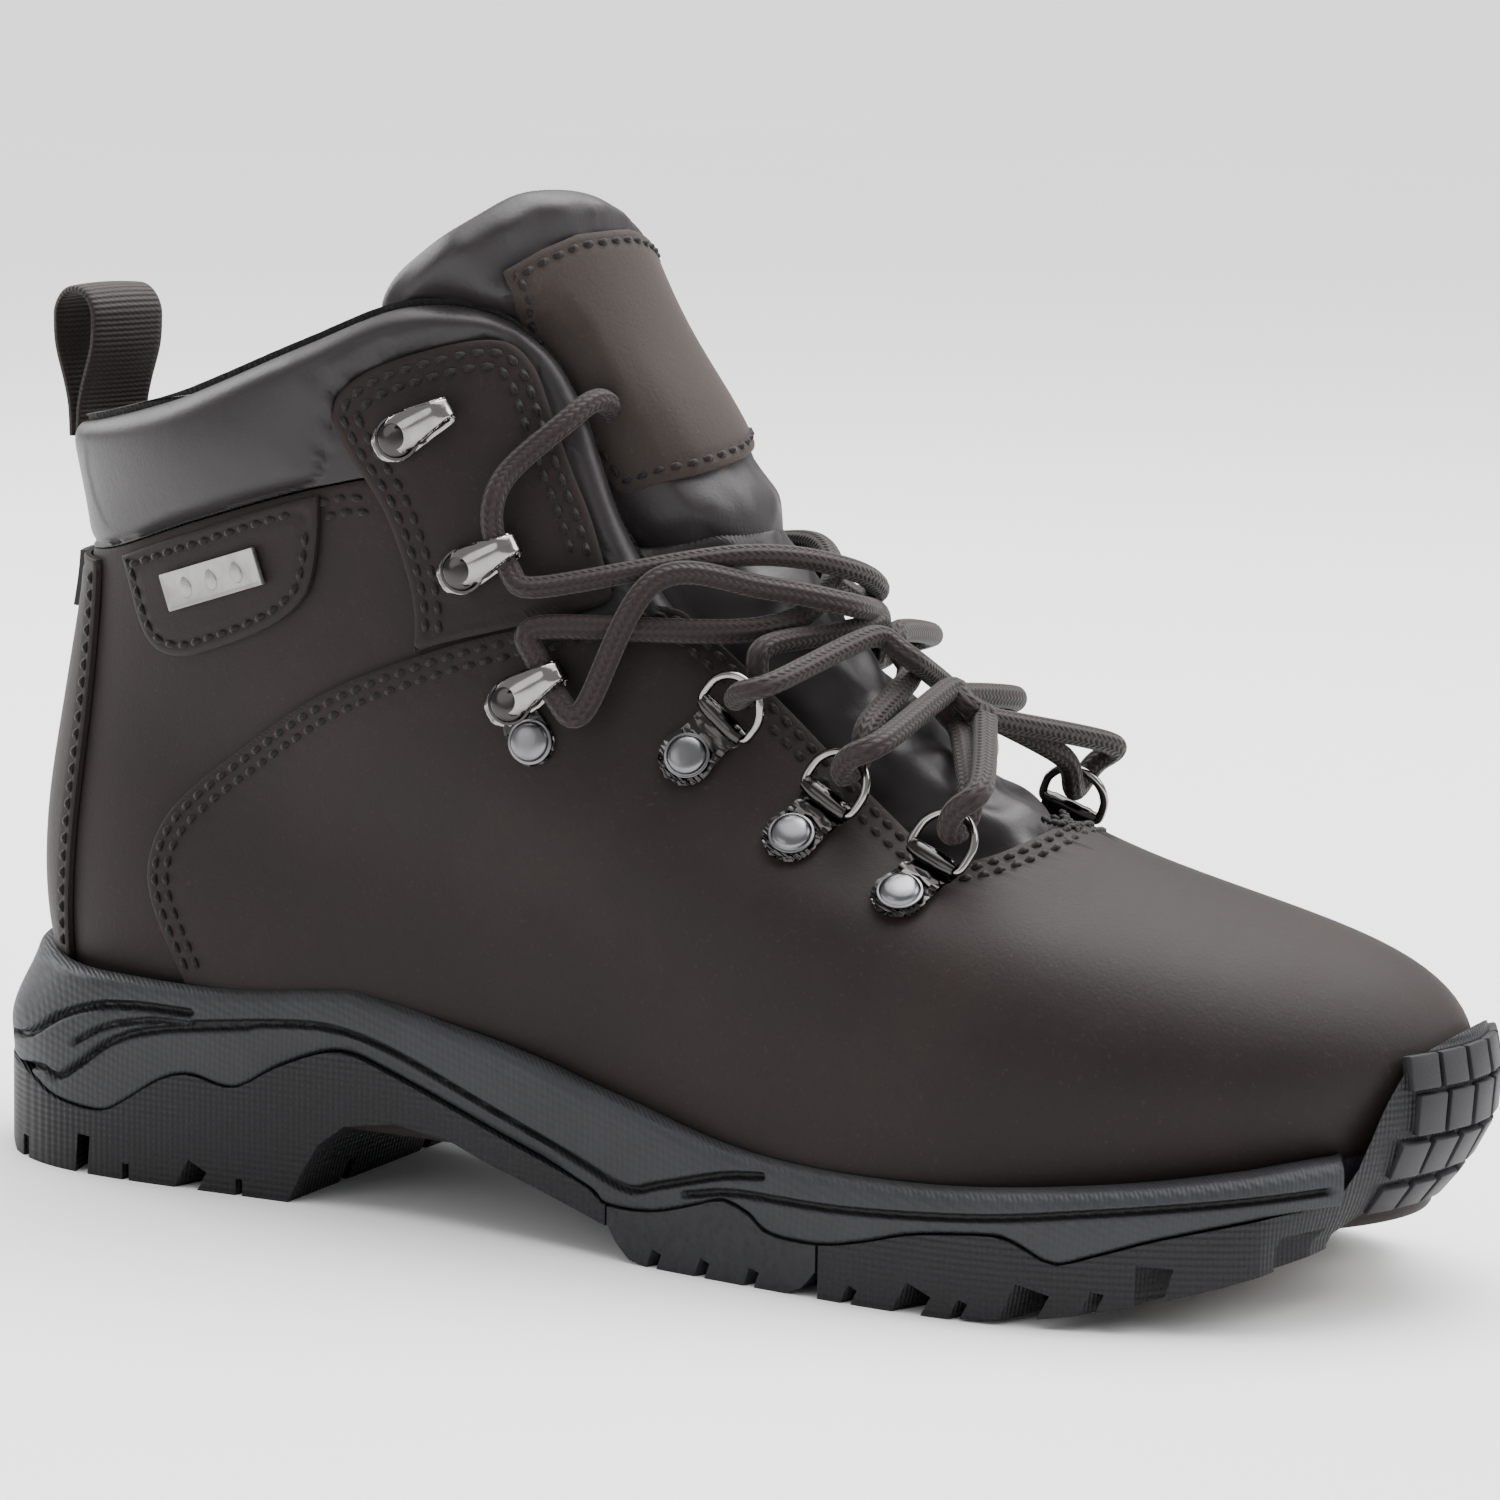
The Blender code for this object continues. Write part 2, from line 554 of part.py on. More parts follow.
def clip_outline():
    bend = CURL_INNER + PLATE / 2
    line = [(-CLIP_TAIL, PLATE / 2), (2.0, PLATE / 2), (BAR_AT - 1.6, PLATE / 2)]
    line += arc((BAR_AT, BAR_HEIGHT + 0.2), bend, -90, 170, 9)
    return stroke(line, PLATE)


def ring_path(seat):
    path = [(0.0, -5.2), (0.0, 0.0), (0.0, 5.2), (1.0, 6.1)]
    path += [(3.2 + (RING_REACH - 3.2) * math.cos(math.radians(turn)),
              RING_HALF_WIDTH * math.sin(math.radians(turn))) for turn in range(80, -81, -20)]
    path += [(1.0, -6.1)]
    return [seat.point(a, b, 0) for a, b in path]


def hook_outline():
    top = PLATE / 2 + 2 * HOOK_BEND
    line = [(-5.2, PLATE / 2), (2.0, PLATE / 2)]
    line += arc((HOOK_FOLD_AT, PLATE / 2 + HOOK_BEND), HOOK_BEND, -90, 90, 8)
    line += [(5.0, top + 0.1), (HOOK_END_AT, top + 0.7)]
    return stroke(line, PLATE)


def clip_seat(index, side):
    return Place(*CLIPS[index], side, METAL_BASE)


def ring_seat(index, side):
    return clip_seat(index, side).turned(BAR_AT, BAR_HEIGHT + 0.2, RING_TILT)


def hook_seat(index, side):
    return Place(*HOOKS[index], side, METAL_BASE)


def build_fittings(plated, satin):
    axes = {}
    for side, word in ((-1, "outer"), (1, "inner")):
        for index in range(len(CLIPS)):
            tag = f"{word}_{index + 1}"
            seat = clip_seat(index, side)
            clip = strip("ring_clip_" + tag, seat, clip_outline(), CLIP_WIDTH, plated)
            rivet_hole("clip_hole_" + tag, seat, clip)
            rivet("clip_rivet_" + tag, seat, satin)
            hinge = ring_seat(index, side)
            ring = wire("d_ring_" + tag, ring_path(hinge), RING_WIRE, plated, cyclic=True)
            axes[ring.name] = (hinge.origin, hinge.across)
        for index in range(len(HOOKS)):
            tag = f"{word}_{index + 1}"
            seat = hook_seat(index, side)
            hook = strip("lace_hook_" + tag, seat, hook_outline(), HOOK_WIDTH, plated)
            rivet("hook_rivet_" + tag, seat, satin)
            if index == len(HOOKS) - 1:
                foot = strip("hook_foot_" + word, seat, [(-4.2, 0.05), (4.2, 0.05), (4.2, 0.8),
                                                         (-4.2, 0.8)], 13.0, None, side * 6.4)
                cut(hook, foot, "UNION")
                rivet_hole("foot_hole_" + word, seat, hook, side * SECOND_RIVET)
                rivet("lock_rivet_" + word, seat, satin, side * SECOND_RIVET)
            rivet_hole("hook_hole_" + tag, seat, hook)
    return axes


# ---------------------------------------------------------------- lace
def ring_turn(index, side, over_first, lean):
    """The lace's half turn round the ring's far rod, over it and back underneath.
    lean leads the upper and the lower strand sideways, each towards its next eyelet."""
    seat = ring_seat(index, side)
    turn = [seat.point(RING_REACH + 6.0, lean[0], RING_TURN - 0.2),
            seat.point(RING_REACH, lean[0] * 0.2, RING_TURN),
            seat.point(RING_REACH - RING_TURN, 0, 0),
            seat.point(RING_REACH, lean[1] * 0.2, -RING_TURN),
            seat.point(RING_REACH + 5.0, lean[1], -RING_TURN - 0.6)]
    return turn if over_first else turn[::-1]


def hook_turn(index, side, upward):
    """The lace's pass through a hook, up the boot or down it."""
    seat = hook_seat(index, side)
    up = -side
    middle = PLATE / 2 + HOOK_BEND
    turn = [seat.point(HOOK_FOLD_AT + 2.8, -up * 9.5, middle + 0.4),
            seat.point(HOOK_FOLD_AT, -up * 5.0, middle),
            seat.point(HOOK_FOLD_AT - 0.9, 0, middle),
            seat.point(HOOK_FOLD_AT, up * 5.0, middle),
            seat.point(HOOK_FOLD_AT + 2.8, up * 9.5, middle + 0.4)]
    return turn if upward else turn[::-1]


def eyelet_spot(kind, index, side):
    """Where a strand reaches an eyelet, as an angle that grows towards the inner side."""
    seat = ring_seat(index, side) if kind == "ring" else hook_seat(index, side)
    reach = RING_REACH + 6 if kind == "ring" else HOOK_FOLD_AT + 4
    spot = seat.point(reach, 0, 0)
    angle, level = locate(spot[0], spot[2], side)
    return (angle + 360 if side < 0 else angle), level


def span(start, end, lifts, rise=(0, 0, 0)):
    """Three points of a strand that crosses the tongue between two eyelets. Rise is how
    many levels each point lies above the straight way."""
    (a0, l0), (a1, l1) = eyelet_spot(*start), eyelet_spot(*end)
    points = []
    for part, lift, up in zip((0.27, 0.5, 0.73), lifts, rise):
        points.append(skin(a0 + (a1 - a0) * part, l0 + (l1 - l0) * part + up, lift)[0])
    return points


def surface_run(stations):
    return [skin(a, l, h)[0] for a, l, h in stations]


def lace_route():
    """Waypoints in threading order: D-ring rows criss-cross, then the locking hooks."""
    outer, inner = -1, 1
    low, high = LACE_CLEAR_LOW, LACE_CLEAR_HIGH
    bar, diagonal = (high, high, 9.4), (low, low, low + 2.6)
    route = surface_run([(-137, 5.45, -8.4), (-145, 5.72, -8.2), (-152.5, 5.98, -3.4),
                         (-148, 6.1, 3.6), (-139, 5.98, 6.4), (-126, 5.75, 5.6)])
    route += hook_turn(1, outer, False)
    route += span(("hook", 1, outer), ("hook", 2, inner), (9.0, high, 9.0))
    route += hook_turn(2, inner, False)
    route += span(("hook", 2, inner), ("ring", 0, outer), (low + 1.4, low, low + 0.6), (0.45, 0.25, 0.05))
    route += ring_turn(0, outer, False, (-5, 4))
    route += span(("ring", 0, outer), ("ring", 1, inner), bar)
    route += ring_turn(1, inner, False, (5, -4))
    route += span(("ring", 1, inner), ("ring", 2, outer), diagonal[::-1])
    route += ring_turn(2, outer, False, (-3, 4))
    route += span(("ring", 2, outer), ("ring", 2, inner), (high, high + 0.6, high))
    route += ring_turn(2, inner, True, (3, -4))
    route += span(("ring", 2, inner), ("ring", 1, outer), bar[::-1])
    route += ring_turn(1, outer, True, (-5, 4))
    route += span(("ring", 1, outer), ("ring", 0, inner), diagonal)
    route += ring_turn(0, inner, True, (5, -4))
    route += span(("ring", 0, inner), ("hook", 2, outer), (9.4, high, 8.6), (0.1, 0.3, 0.45))
    route += hook_turn(2, outer, True)
    route += span(("hook", 2, outer), ("hook", 1, inner), (low + 1.4, low, low + 1))
    route += hook_turn(1, inner, True)
    route += surface_run([(126, 5.8, 5.6), (139, 6.05, 6.4), (148, 6.1, 3.6), (152.5, 5.98, -3.4),
                          (145, 5.72, -8.2), (137, 5.45, -8.4)])
    return route


def smooth(points, per_step=2):
    """Points read from one smooth curve through the waypoints."""
    points = [np.array(p) for p in points]
    line = [2 * points[0] - points[1]] + points + [2 * points[-1] - points[-2]]
    result = []
    for i in range(1, len(line) - 2):
        p0, p1, p2, p3 = line[i - 1:i + 3]
        for step in range(per_step):
            t = step / per_step
            result.append(0.5 * (2 * p1 + (p2 - p0) * t + (2 * p0 - 5 * p1 + 4 * p2 - p3) * t * t
                                 + (3 * p1 - p0 - 3 * p2 + p3) * t**3))
    result.append(points[-1])
    return result


# ---------------------------------------------------------------- pull loop
def build_pull_loop(webbing):
    seat = Place.__new__(Place)
    yaw = math.radians(LOOP_YAW)
    seat.origin = np.array(LOOP_BASE)
    seat.forward = np.array([math.cos(yaw), -math.sin(yaw), 0.0])
    seat.across = np.array([math.sin(yaw), math.cos(yaw), 0.0])
    seat.out = np.array([0.0, 0.0, 1.0])
    half = LOOP_DEPTH / 2 + LOOP_TAPE / 2
    crown = LOOP_HEIGHT - half - LOOP_TAPE / 2
    line = [(-1.3, 0.0), (-2.4, 5.0), (-half + 0.6, crown - 6.0)]
    line += arc((0.0, crown), half, 180, 0, 8)
    line += [(half - 0.6, crown - 6.0), (2.4, 5.0), (1.3, 0.0)]
    strip("pull_loop", seat, stroke(line, LOOP_TAPE), LOOP_WIDTH, webbing)
    tab = full_shell("pull_loop_tab", (3.6, 2.4), webbing)
    cut(tab, prism("tab_outline", [(-20, 112), (20, 112), (20, 123.5), (-20, 123.5)], -9, 9))


def main():
    for thing in list(bpy.data.objects):
        bpy.data.objects.remove(thing, do_unlink=True)
    leather = material("waxed_nubuck", (0.045, 0.033, 0.030), 0.62)
    patch_leather = material("light_nubuck", (0.090, 0.068, 0.058), 0.65)
    padding = material("smooth_leather", (0.060, 0.046, 0.052), 0.42)
    textile = material("black_mesh", (0.015, 0.015, 0.017), 0.90)
    board = material("fibre_board", (0.35, 0.30, 0.24), 0.85)
    rubber = material("black_rubber", (0.028, 0.028, 0.031), 0.55)
    pod_rubber = material("pebbled_rubber", (0.040, 0.040, 0.044), 0.60)
    foam = material("grey_midsole", (0.085, 0.085, 0.100), 0.58)
    plated = material("black_nickel", (0.30, 0.29, 0.29), 0.22, 1.0)
    satin = material("satin_nickel", (0.55, 0.55, 0.56), 0.32, 1.0)
    steel = material("spring_steel", (0.45, 0.45, 0.46), 0.35, 1.0)
    braid = material("brown_braid", (0.050, 0.032, 0.027), 0.80)
    webbing = material("brown_webbing", (0.060, 0.042, 0.035), 0.85)

    build_sole(rubber, pod_rubber, foam)
    build_insole(board, steel, textile)
    build_upper(leather, patch_leather, padding, textile, board, satin)
    axes = build_fittings(plated, satin)
    wire("lace", smooth(lace_route()), LACE_RADIUS, braid)
    build_pull_loop(webbing)
    axes["tongue_pad"] = (skin(180, TONGUE_HINGE_LEVEL, -5.0)[0], np.array([0.0, 1.0, 0.0]))
    for name, (spot, axis) in axes.items():
        at = (spot - np.array([MIDDLE_X, MIDDLE_Y, 0])) * MM
        print(f"hinge {name}: at {np.round(at, 5).tolist()} axis {np.round(axis, 4).tolist()}")


main()
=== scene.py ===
import math

import bmesh
import bpy
import numpy as np
from mathutils import Matrix, Vector, geometry


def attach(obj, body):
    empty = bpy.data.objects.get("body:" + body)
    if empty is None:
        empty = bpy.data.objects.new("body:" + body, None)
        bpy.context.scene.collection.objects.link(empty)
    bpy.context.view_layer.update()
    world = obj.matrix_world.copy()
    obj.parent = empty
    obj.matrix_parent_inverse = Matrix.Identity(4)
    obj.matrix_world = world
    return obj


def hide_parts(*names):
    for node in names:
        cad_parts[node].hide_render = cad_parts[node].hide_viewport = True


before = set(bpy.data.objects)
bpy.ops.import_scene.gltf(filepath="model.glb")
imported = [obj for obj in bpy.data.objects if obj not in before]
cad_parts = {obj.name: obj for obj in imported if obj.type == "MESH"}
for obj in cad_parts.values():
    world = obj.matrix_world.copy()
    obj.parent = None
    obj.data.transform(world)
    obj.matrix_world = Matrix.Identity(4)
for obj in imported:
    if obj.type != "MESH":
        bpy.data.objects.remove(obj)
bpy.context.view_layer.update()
print("frame loaded")

mm = 0.001
middle = np.array([157.0, 0.5, 0.0])  # the frame's origin, in the shoemaker's own millimetres


def toWorld(points):
    return (np.asarray(points, float) - middle) * mm


# ---- camera, light and floor
stage = {"turn": 26.5, "height": 9.0, "roll": 1.0, "away": 1.1, "lens": 134.1,
         "aim": (0.0065, -0.0005, 0.0936), "floor": 40.0, "skylight": 0.62,
         "lit": (0.0, 0.0, 0.08), "sunAngle": 80, "sunPower": 4.4, "sunTilt": (-14, 6, 0),
         "lights": (("topLight", (0.1, 0.5, 1.5), 1.4, 34.0),
                    ("frontLight", (-0.5, -1.6, 0.7), 1.0, 5.0),
                    ("backLight", (-1.4, 0.3, 0.8), 0.8, 15.0),
                    ("toeLight", (1.3, 0.6, 0.9), 0.8, 12.0))}


def setStage():
    turn, up, roll = (math.radians(stage[key]) for key in ("turn", "height", "roll"))
    back = Vector((math.sin(turn) * math.cos(up), -math.cos(turn) * math.cos(up), math.sin(up)))
    right = Vector((math.cos(turn), math.sin(turn), 0.0))
    top = back.cross(right)
    right, top = (right * math.cos(roll) + top * math.sin(roll),
                  top * math.cos(roll) - right * math.sin(roll))
    eye = bpy.data.objects.new("camera", bpy.data.cameras.new("camera"))
    eye.data.lens = stage["lens"]
    eye.data.sensor_width = 36.0
    eye.data.clip_end = 50.0
    place = Matrix((right, top, back)).transposed().to_4x4()
    place.translation = Vector(stage["aim"]) + back * stage["away"]
    eye.matrix_world = place
    bpy.context.collection.objects.link(eye)
    bpy.context.scene.camera = eye

    world = bpy.data.worlds.new("studio")
    bpy.context.scene.world = world
    world.use_nodes = True
    backdrop = world.node_tree.nodes["Background"].inputs
    backdrop["Color"].default_value = (1.0, 1.0, 1.0, 1.0)
    backdrop["Strength"].default_value = stage["skylight"]

    aim = Vector(stage["lit"])
    for name, spot, size, power in stage["lights"]:
        light = bpy.data.objects.new(name, bpy.data.lights.new(name, "AREA"))
        light.data.shape = "DISK"
        light.data.size = size
        light.data.energy = power
        light.location = spot
        light.rotation_euler = (aim - Vector(spot)).to_track_quat("-Z", "Y").to_euler()
        bpy.context.collection.objects.link(light)
    sky = bpy.data.objects.new("overheadLight", bpy.data.lights.new("overheadLight", "SUN"))
    sky.data.angle = math.radians(stage["sunAngle"])
    sky.data.energy = stage["sunPower"]
    sky.rotation_euler = [math.radians(turn) for turn in stage["sunTilt"]]
    bpy.context.collection.objects.link(sky)


setStage()


# ---- ways of modelling
def alone(thing):
    if bpy.context.object and bpy.context.object.mode != "OBJECT":
        bpy.ops.object.mode_set(mode="OBJECT")
    bpy.ops.object.select_all(action="DESELECT")
    thing.select_set(True)
    bpy.context.view_layer.objects.active = thing


def modify(thing, kind, **settings):
    alone(thing)
    step = thing.modifiers.new(kind.lower(), kind)
    for key, value in settings.items():
        setattr(step, key, value)
    bpy.ops.object.modifier_apply(modifier=step.name)
    return thing


def carve(thing, cutter, operation="DIFFERENCE"):
    modify(thing, "BOOLEAN", operation=operation, solver="EXACT", object=cutter,
           use_self=True)
    bpy.data.objects.remove(cutter, do_unlink=True)
    return thing


def newMesh(name, points, faces):
    mesh = bpy.data.meshes.new(name)
    mesh.from_pydata([tuple(p) for p in toWorld(points)], [], [tuple(f) for f in faces])
    thing = bpy.data.objects.new(name, mesh)
    bpy.context.collection.objects.link(thing)
    return thing


def faceOut(thing, join=0.0):
    work = bmesh.new()
    work.from_mesh(thing.data)
    if join:
        bmesh.ops.remove_doubles(work, verts=work.verts, dist=join * mm)
    bmesh.ops.recalc_face_normals(work, faces=work.faces)
    work.to_mesh(thing.data)
    work.free()
    return thing


def smoothShade(thing, degrees=40):
    alone(thing)
    bpy.ops.object.shade_smooth_by_angle(angle=math.radians(degrees))
    return thing


def loftFaces(rows, count):
    # quads between closed rings of points, and a face at each end
    faces = [(k * count + i, k * count + (i + 1) % count, (k + 1) * count + (i + 1) % count,
              (k + 1) * count + i) for k in range(rows - 1) for i in range(count)]
    top = (rows - 1) * count
    return faces + [tuple(range(count))[::-1], tuple(top + i for i in range(count))]


def bareShape(kind, **settings):
    bpy.ops.object.select_all(action="DESELECT")
    getattr(bpy.ops.mesh, "primitive_" + kind + "_add")(**settings)
    return bpy.context.object


def soften(thing, width, degrees):
    modify(thing, "BEVEL", width=width, segments=2, limit_method="ANGLE",
           angle_limit=math.radians(degrees))


def copyOf(thing, name):
    other = thing.copy()
    other.data = thing.data.copy()
    other.name = other.data.name = name
    bpy.context.collection.objects.link(other)
    return other


def joinAll(things, name):
    alone(things[0])
    for thing in things:
        thing.select_set(True)
    bpy.ops.object.join()
    whole = bpy.context.object
    whole.name = whole.data.name = name
    return whole


def coat(thing, *finishes):
    thing.data.materials.clear()
    for finish in finishes:
        thing.data.materials.append(finish)


def settle(thing, body, slot, *nodes):
    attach(thing, body)
    if nodes:
        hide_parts(*nodes)


def chordLengths(line):
    return np.concatenate([[0.0], np.cumsum(np.linalg.norm(np.diff(line, axis=0), axis=1))])


def evenly(line, step):
    line = np.asarray(line, float)
    far = chordLengths(line)
    count = max(2, int(round(far[-1] / step)) + 1)
    at = np.linspace(0, far[-1], count)
    return np.stack([np.interp(at, far, line[:, i]) for i in range(line.shape[1])], -1)


def curveThrough(points, step=1.2, closed=False, fine=10):
    points = np.asarray(points, float)
    if closed:
        line = np.concatenate([points[-1:], points, points[:2]])
    else:
        line = np.concatenate([2 * points[:1] - points[1:2], points,
                               2 * points[-1:] - points[-2:-1]])
    result = []
    for i in range(1, len(line) - 2):
        p0, p1, p2, p3 = line[i - 1:i + 3]
        t = (np.arange(fine) / fine)[:, None]
        result.append(0.5 * (2 * p1 + (p2 - p0) * t + (2 * p0 - 5 * p1 + 4 * p2 - p3) * t**2
                             + (3 * p1 - p0 - 3 * p2 + p3) * t**3))
    result.append(line[-2][None])
    return evenly(np.concatenate(result), step)


# ---- the last, the foot shape that every piece of the upper follows
# Each level: back (x, z), front (x, z), sideways shift of the front, and the half widths on
# the outer and the inner side from back to front.
lastLevels = [
    ((15, 24), (302, 26), 7, (22, 31, 32, 40, 51, 44, 24), (22, 30, 26, 31, 44, 39, 23)),
    ((8, 47), (309, 47.5), 7, (24, 34, 35, 41, 50, 44, 26), (24, 33, 30, 36, 47, 41, 24)),
    ((7, 70), (293, 64), 6, (23, 34, 35, 40, 45, 36, 18), (23, 33, 33, 38, 42, 32, 16)),
    ((10, 90), (252, 75), 4, (21, 32, 36, 39, 39, 29, 14), (21, 31, 35, 38, 38, 28, 14)),
    ((14, 109), (210.5, 94), 2, (20, 31, 37, 39, 35, 26, 13), (20, 31, 36, 38, 34, 25, 13)),
    ((17, 127), (176, 126), 0, (20, 31, 37, 39, 35, 26, 13), (20, 31, 37, 39, 35, 26, 13)),
    ((15, 145), (151, 160), 0, (21, 32, 39, 41, 37, 28, 14), (21, 32, 39, 41, 37, 28, 14)),
    ((12, 158), (133, 194.5), 0, (21, 33, 40, 42, 38, 29, 15), (21, 33, 40, 42, 38, 29, 15)),
]


def splineMoments(count):
    system, load = np.eye(count), np.zeros((count, count))
    for i in range(1, count - 1):
        system[i, i - 1:i + 2] = (1, 4, 1)
        load[i, i - 1:i + 2] = (6, -12, 6)
    return np.linalg.solve(system, load)


def cubicBetween(v0, v1, m0, m1, part):
    rest = 1 - part
    return rest * v0 + part * v1 + ((rest**3 - rest) * m0 + (part**3 - part) * m1) / 6


class SmoothRow:
    def __init__(self, values):
        self.values = np.array(values, float)
        self.moments = splineMoments(len(self.values)) @ self.values

    def at(self, place):
        first = np.clip(np.floor(place).astype(int), 0, len(self.values) - 2)
        part = place - first
        if self.values.ndim == 2:
            part = part[:, None]
        return cubicBetween(self.values[first], self.values[first + 1],
                            self.moments[first], self.moments[first + 1], part)


unroll = np.array((1.25, 22.0))  # millimetres in a degree round the last and a level up it
backRow, frontRow, shiftRow, outerRow, innerRow = (
    SmoothRow([level[i] for level in lastLevels]) for i in range(5))
aroundMoments = splineMoments(9)


def halfWidth(rows, place):
    full = np.pad(rows, ((0, 0), (1, 1)))
    bends = full @ aroundMoments.T
    first = np.clip(np.floor(place).astype(int), 0, 7)
    each = np.arange(len(place))
    return cubicBetween(full[each, first], full[each, first + 1],
                        bends[each, first], bends[each, first + 1], place - first)


def bareLast(angle, level):
    angle, level = np.broadcast_arrays(np.atleast_1d(np.asarray(angle, float)),
                                       np.atleast_1d(np.asarray(level, float)))
    angle = (angle + 180) % 360 - 180
    below, level = np.minimum(level, 0), np.maximum(level, 0)
    back, front = backRow.at(level), frontRow.at(level)
    along = (1 - np.cos(np.radians(angle))) / 2
    rows = np.where(angle[:, None] < 0, outerRow.at(level), innerRow.at(level))
    side = np.where(angle < 0, -1, 1)
    y = shiftRow.at(level) * along**2 + side * halfWidth(rows, np.abs(angle) / 22.5)
    x = back[:, 0] + (front[:, 0] - back[:, 0]) * along
    z = back[:, 1] + (front[:, 1] - back[:, 1]) * along + below * unroll[1]
    return np.stack([x, y, z], -1)


def lastSteps(angle, level):
    angle, level = np.atleast_1d(np.asarray(angle, float)), np.atleast_1d(np.asarray(level, float))
    around = bareLast(angle + 0.5, level) - bareLast(angle - 0.5, level)
    upward = (bareLast(angle, level + 0.03) - bareLast(angle, level - 0.03)) / 0.06
    return around, upward


def lastNormal(angle, level):
    around, upward = lastSteps(angle, level)
    out = np.cross(upward, around)
    return out / np.linalg.norm(out, axis=1, keepdims=True)


def onLast(angle, level, depth=0.0):
    depth = np.atleast_1d(np.asarray(depth, float))
    return bareLast(angle, level) + lastNormal(angle, level) * depth[:, None]


def lastPlace(x, z, side):
    # the angle and level whose side view place is (x, z)
    x, z = (np.atleast_1d(np.asarray(v, float)) for v in (x, z))
    low, high = np.zeros(len(x)), np.full(len(x), 7.6)
    for _ in range(36):
        half = (low + high) / 2
        back, front = backRow.at(half), frontRow.at(half)
        run = front - back
        short = run[:, 0] * (z - back[:, 1]) - run[:, 1] * (x - back[:, 0]) > 0
        low, high = np.where(short, half, low), np.where(short, high, half)
    back, front = backRow.at(low), frontRow.at(low)
    along = (x - back[:, 0]) / (front[:, 0] - back[:, 0])
    angle = np.degrees(np.arccos(np.clip(1 - 2 * along, -1, 1)))
    return np.stack([side * angle, low], -1)


def sideLine(points, side):
    # a line drawn in the side view, as angles and levels
    line = curveThrough(points)
    return lastPlace(line[:, 0], line[:, 1], side)


def overFront(line):
    return np.stack([line[:, 0] % 360, line[:, 1]], -1)


def nearestAway(points, line):
    # distance from each point to the closest point of a line
    result = np.full(len(points), 1e9)
    for start in range(0, len(line), 200):
        gap = np.linalg.norm(points[:, None] - line[None, start:start + 200], axis=2)
        result = np.minimum(result, gap.min(axis=1))
    return result


def insideOutline(points, outline):
    x, y = points[:, 0], points[:, 1]
    inside = np.zeros(len(points), bool)
    for (x0, y0), (x1, y1) in zip(outline, np.roll(outline, -1, axis=0)):
        if y0 != y1:
            hit = ((y0 > y) != (y1 > y)) & (x < (x1 - x0) * (y - y0) / (y1 - y0) + x0)
            inside ^= hit
    return inside


def inwards(outline, depth, closed=True):
    # an outline moved into its own panel, in millimetres along the last
    spots = bareLast(outline[:, 0], outline[:, 1])
    if closed:
        along = np.roll(spots, -1, axis=0) - np.roll(spots, 1, axis=0)
    else:
        along = np.gradient(spots, axis=0)
    along /= np.maximum(np.linalg.norm(along, axis=1, keepdims=True), 1e-9)
    aside = np.cross(lastNormal(outline[:, 0], outline[:, 1]), along)
    around, upward = lastSteps(outline[:, 0], outline[:, 1])
    aa, au, uu = ((p * q).sum(1) for p, q in ((around, around), (around, upward),
                                              (upward, upward)))
    da, du = (aside * around).sum(1), (aside * upward).sum(1)
    room = aa * uu - au * au
    step = np.stack([(da * uu - du * au) / room, (du * aa - da * au) / room], -1)
    return outline + step * depth


def panelPoints(outline, bands, pitch):
    # an outline, lines of points just inside it, and an even grid in its middle
    sign = 1.0
    trial = inwards(outline, 0.3)
    if insideOutline(trial, outline).mean() < 0.5:
        sign = -1.0
    edge = bareLast(outline[:, 0], outline[:, 1])
    kept = [outline]
    for band in bands:
        line = inwards(outline, sign * band)
        away = nearestAway(bareLast(line[:, 0], line[:, 1]), edge)
        kept.append(line[(away > band * 0.93) & insideOutline(line, outline)])
    low, high = outline.min(axis=0), outline.max(axis=0)
    stepA, stepL = pitch / unroll
    grid = np.stack(np.meshgrid(np.arange(low[0], high[0], stepA),
                                np.arange(low[1], high[1], stepL), indexing="ij"), -1)
    grid[:, ::2, 0] += stepA / 2
    grid = grid.reshape(-1, 2)
    grid = grid[insideOutline(grid, outline)]
    away = nearestAway(bareLast(grid[:, 0], grid[:, 1]), edge)
    kept.append(grid[away > max(bands) + pitch * 0.6])
    return np.concatenate(kept), sign


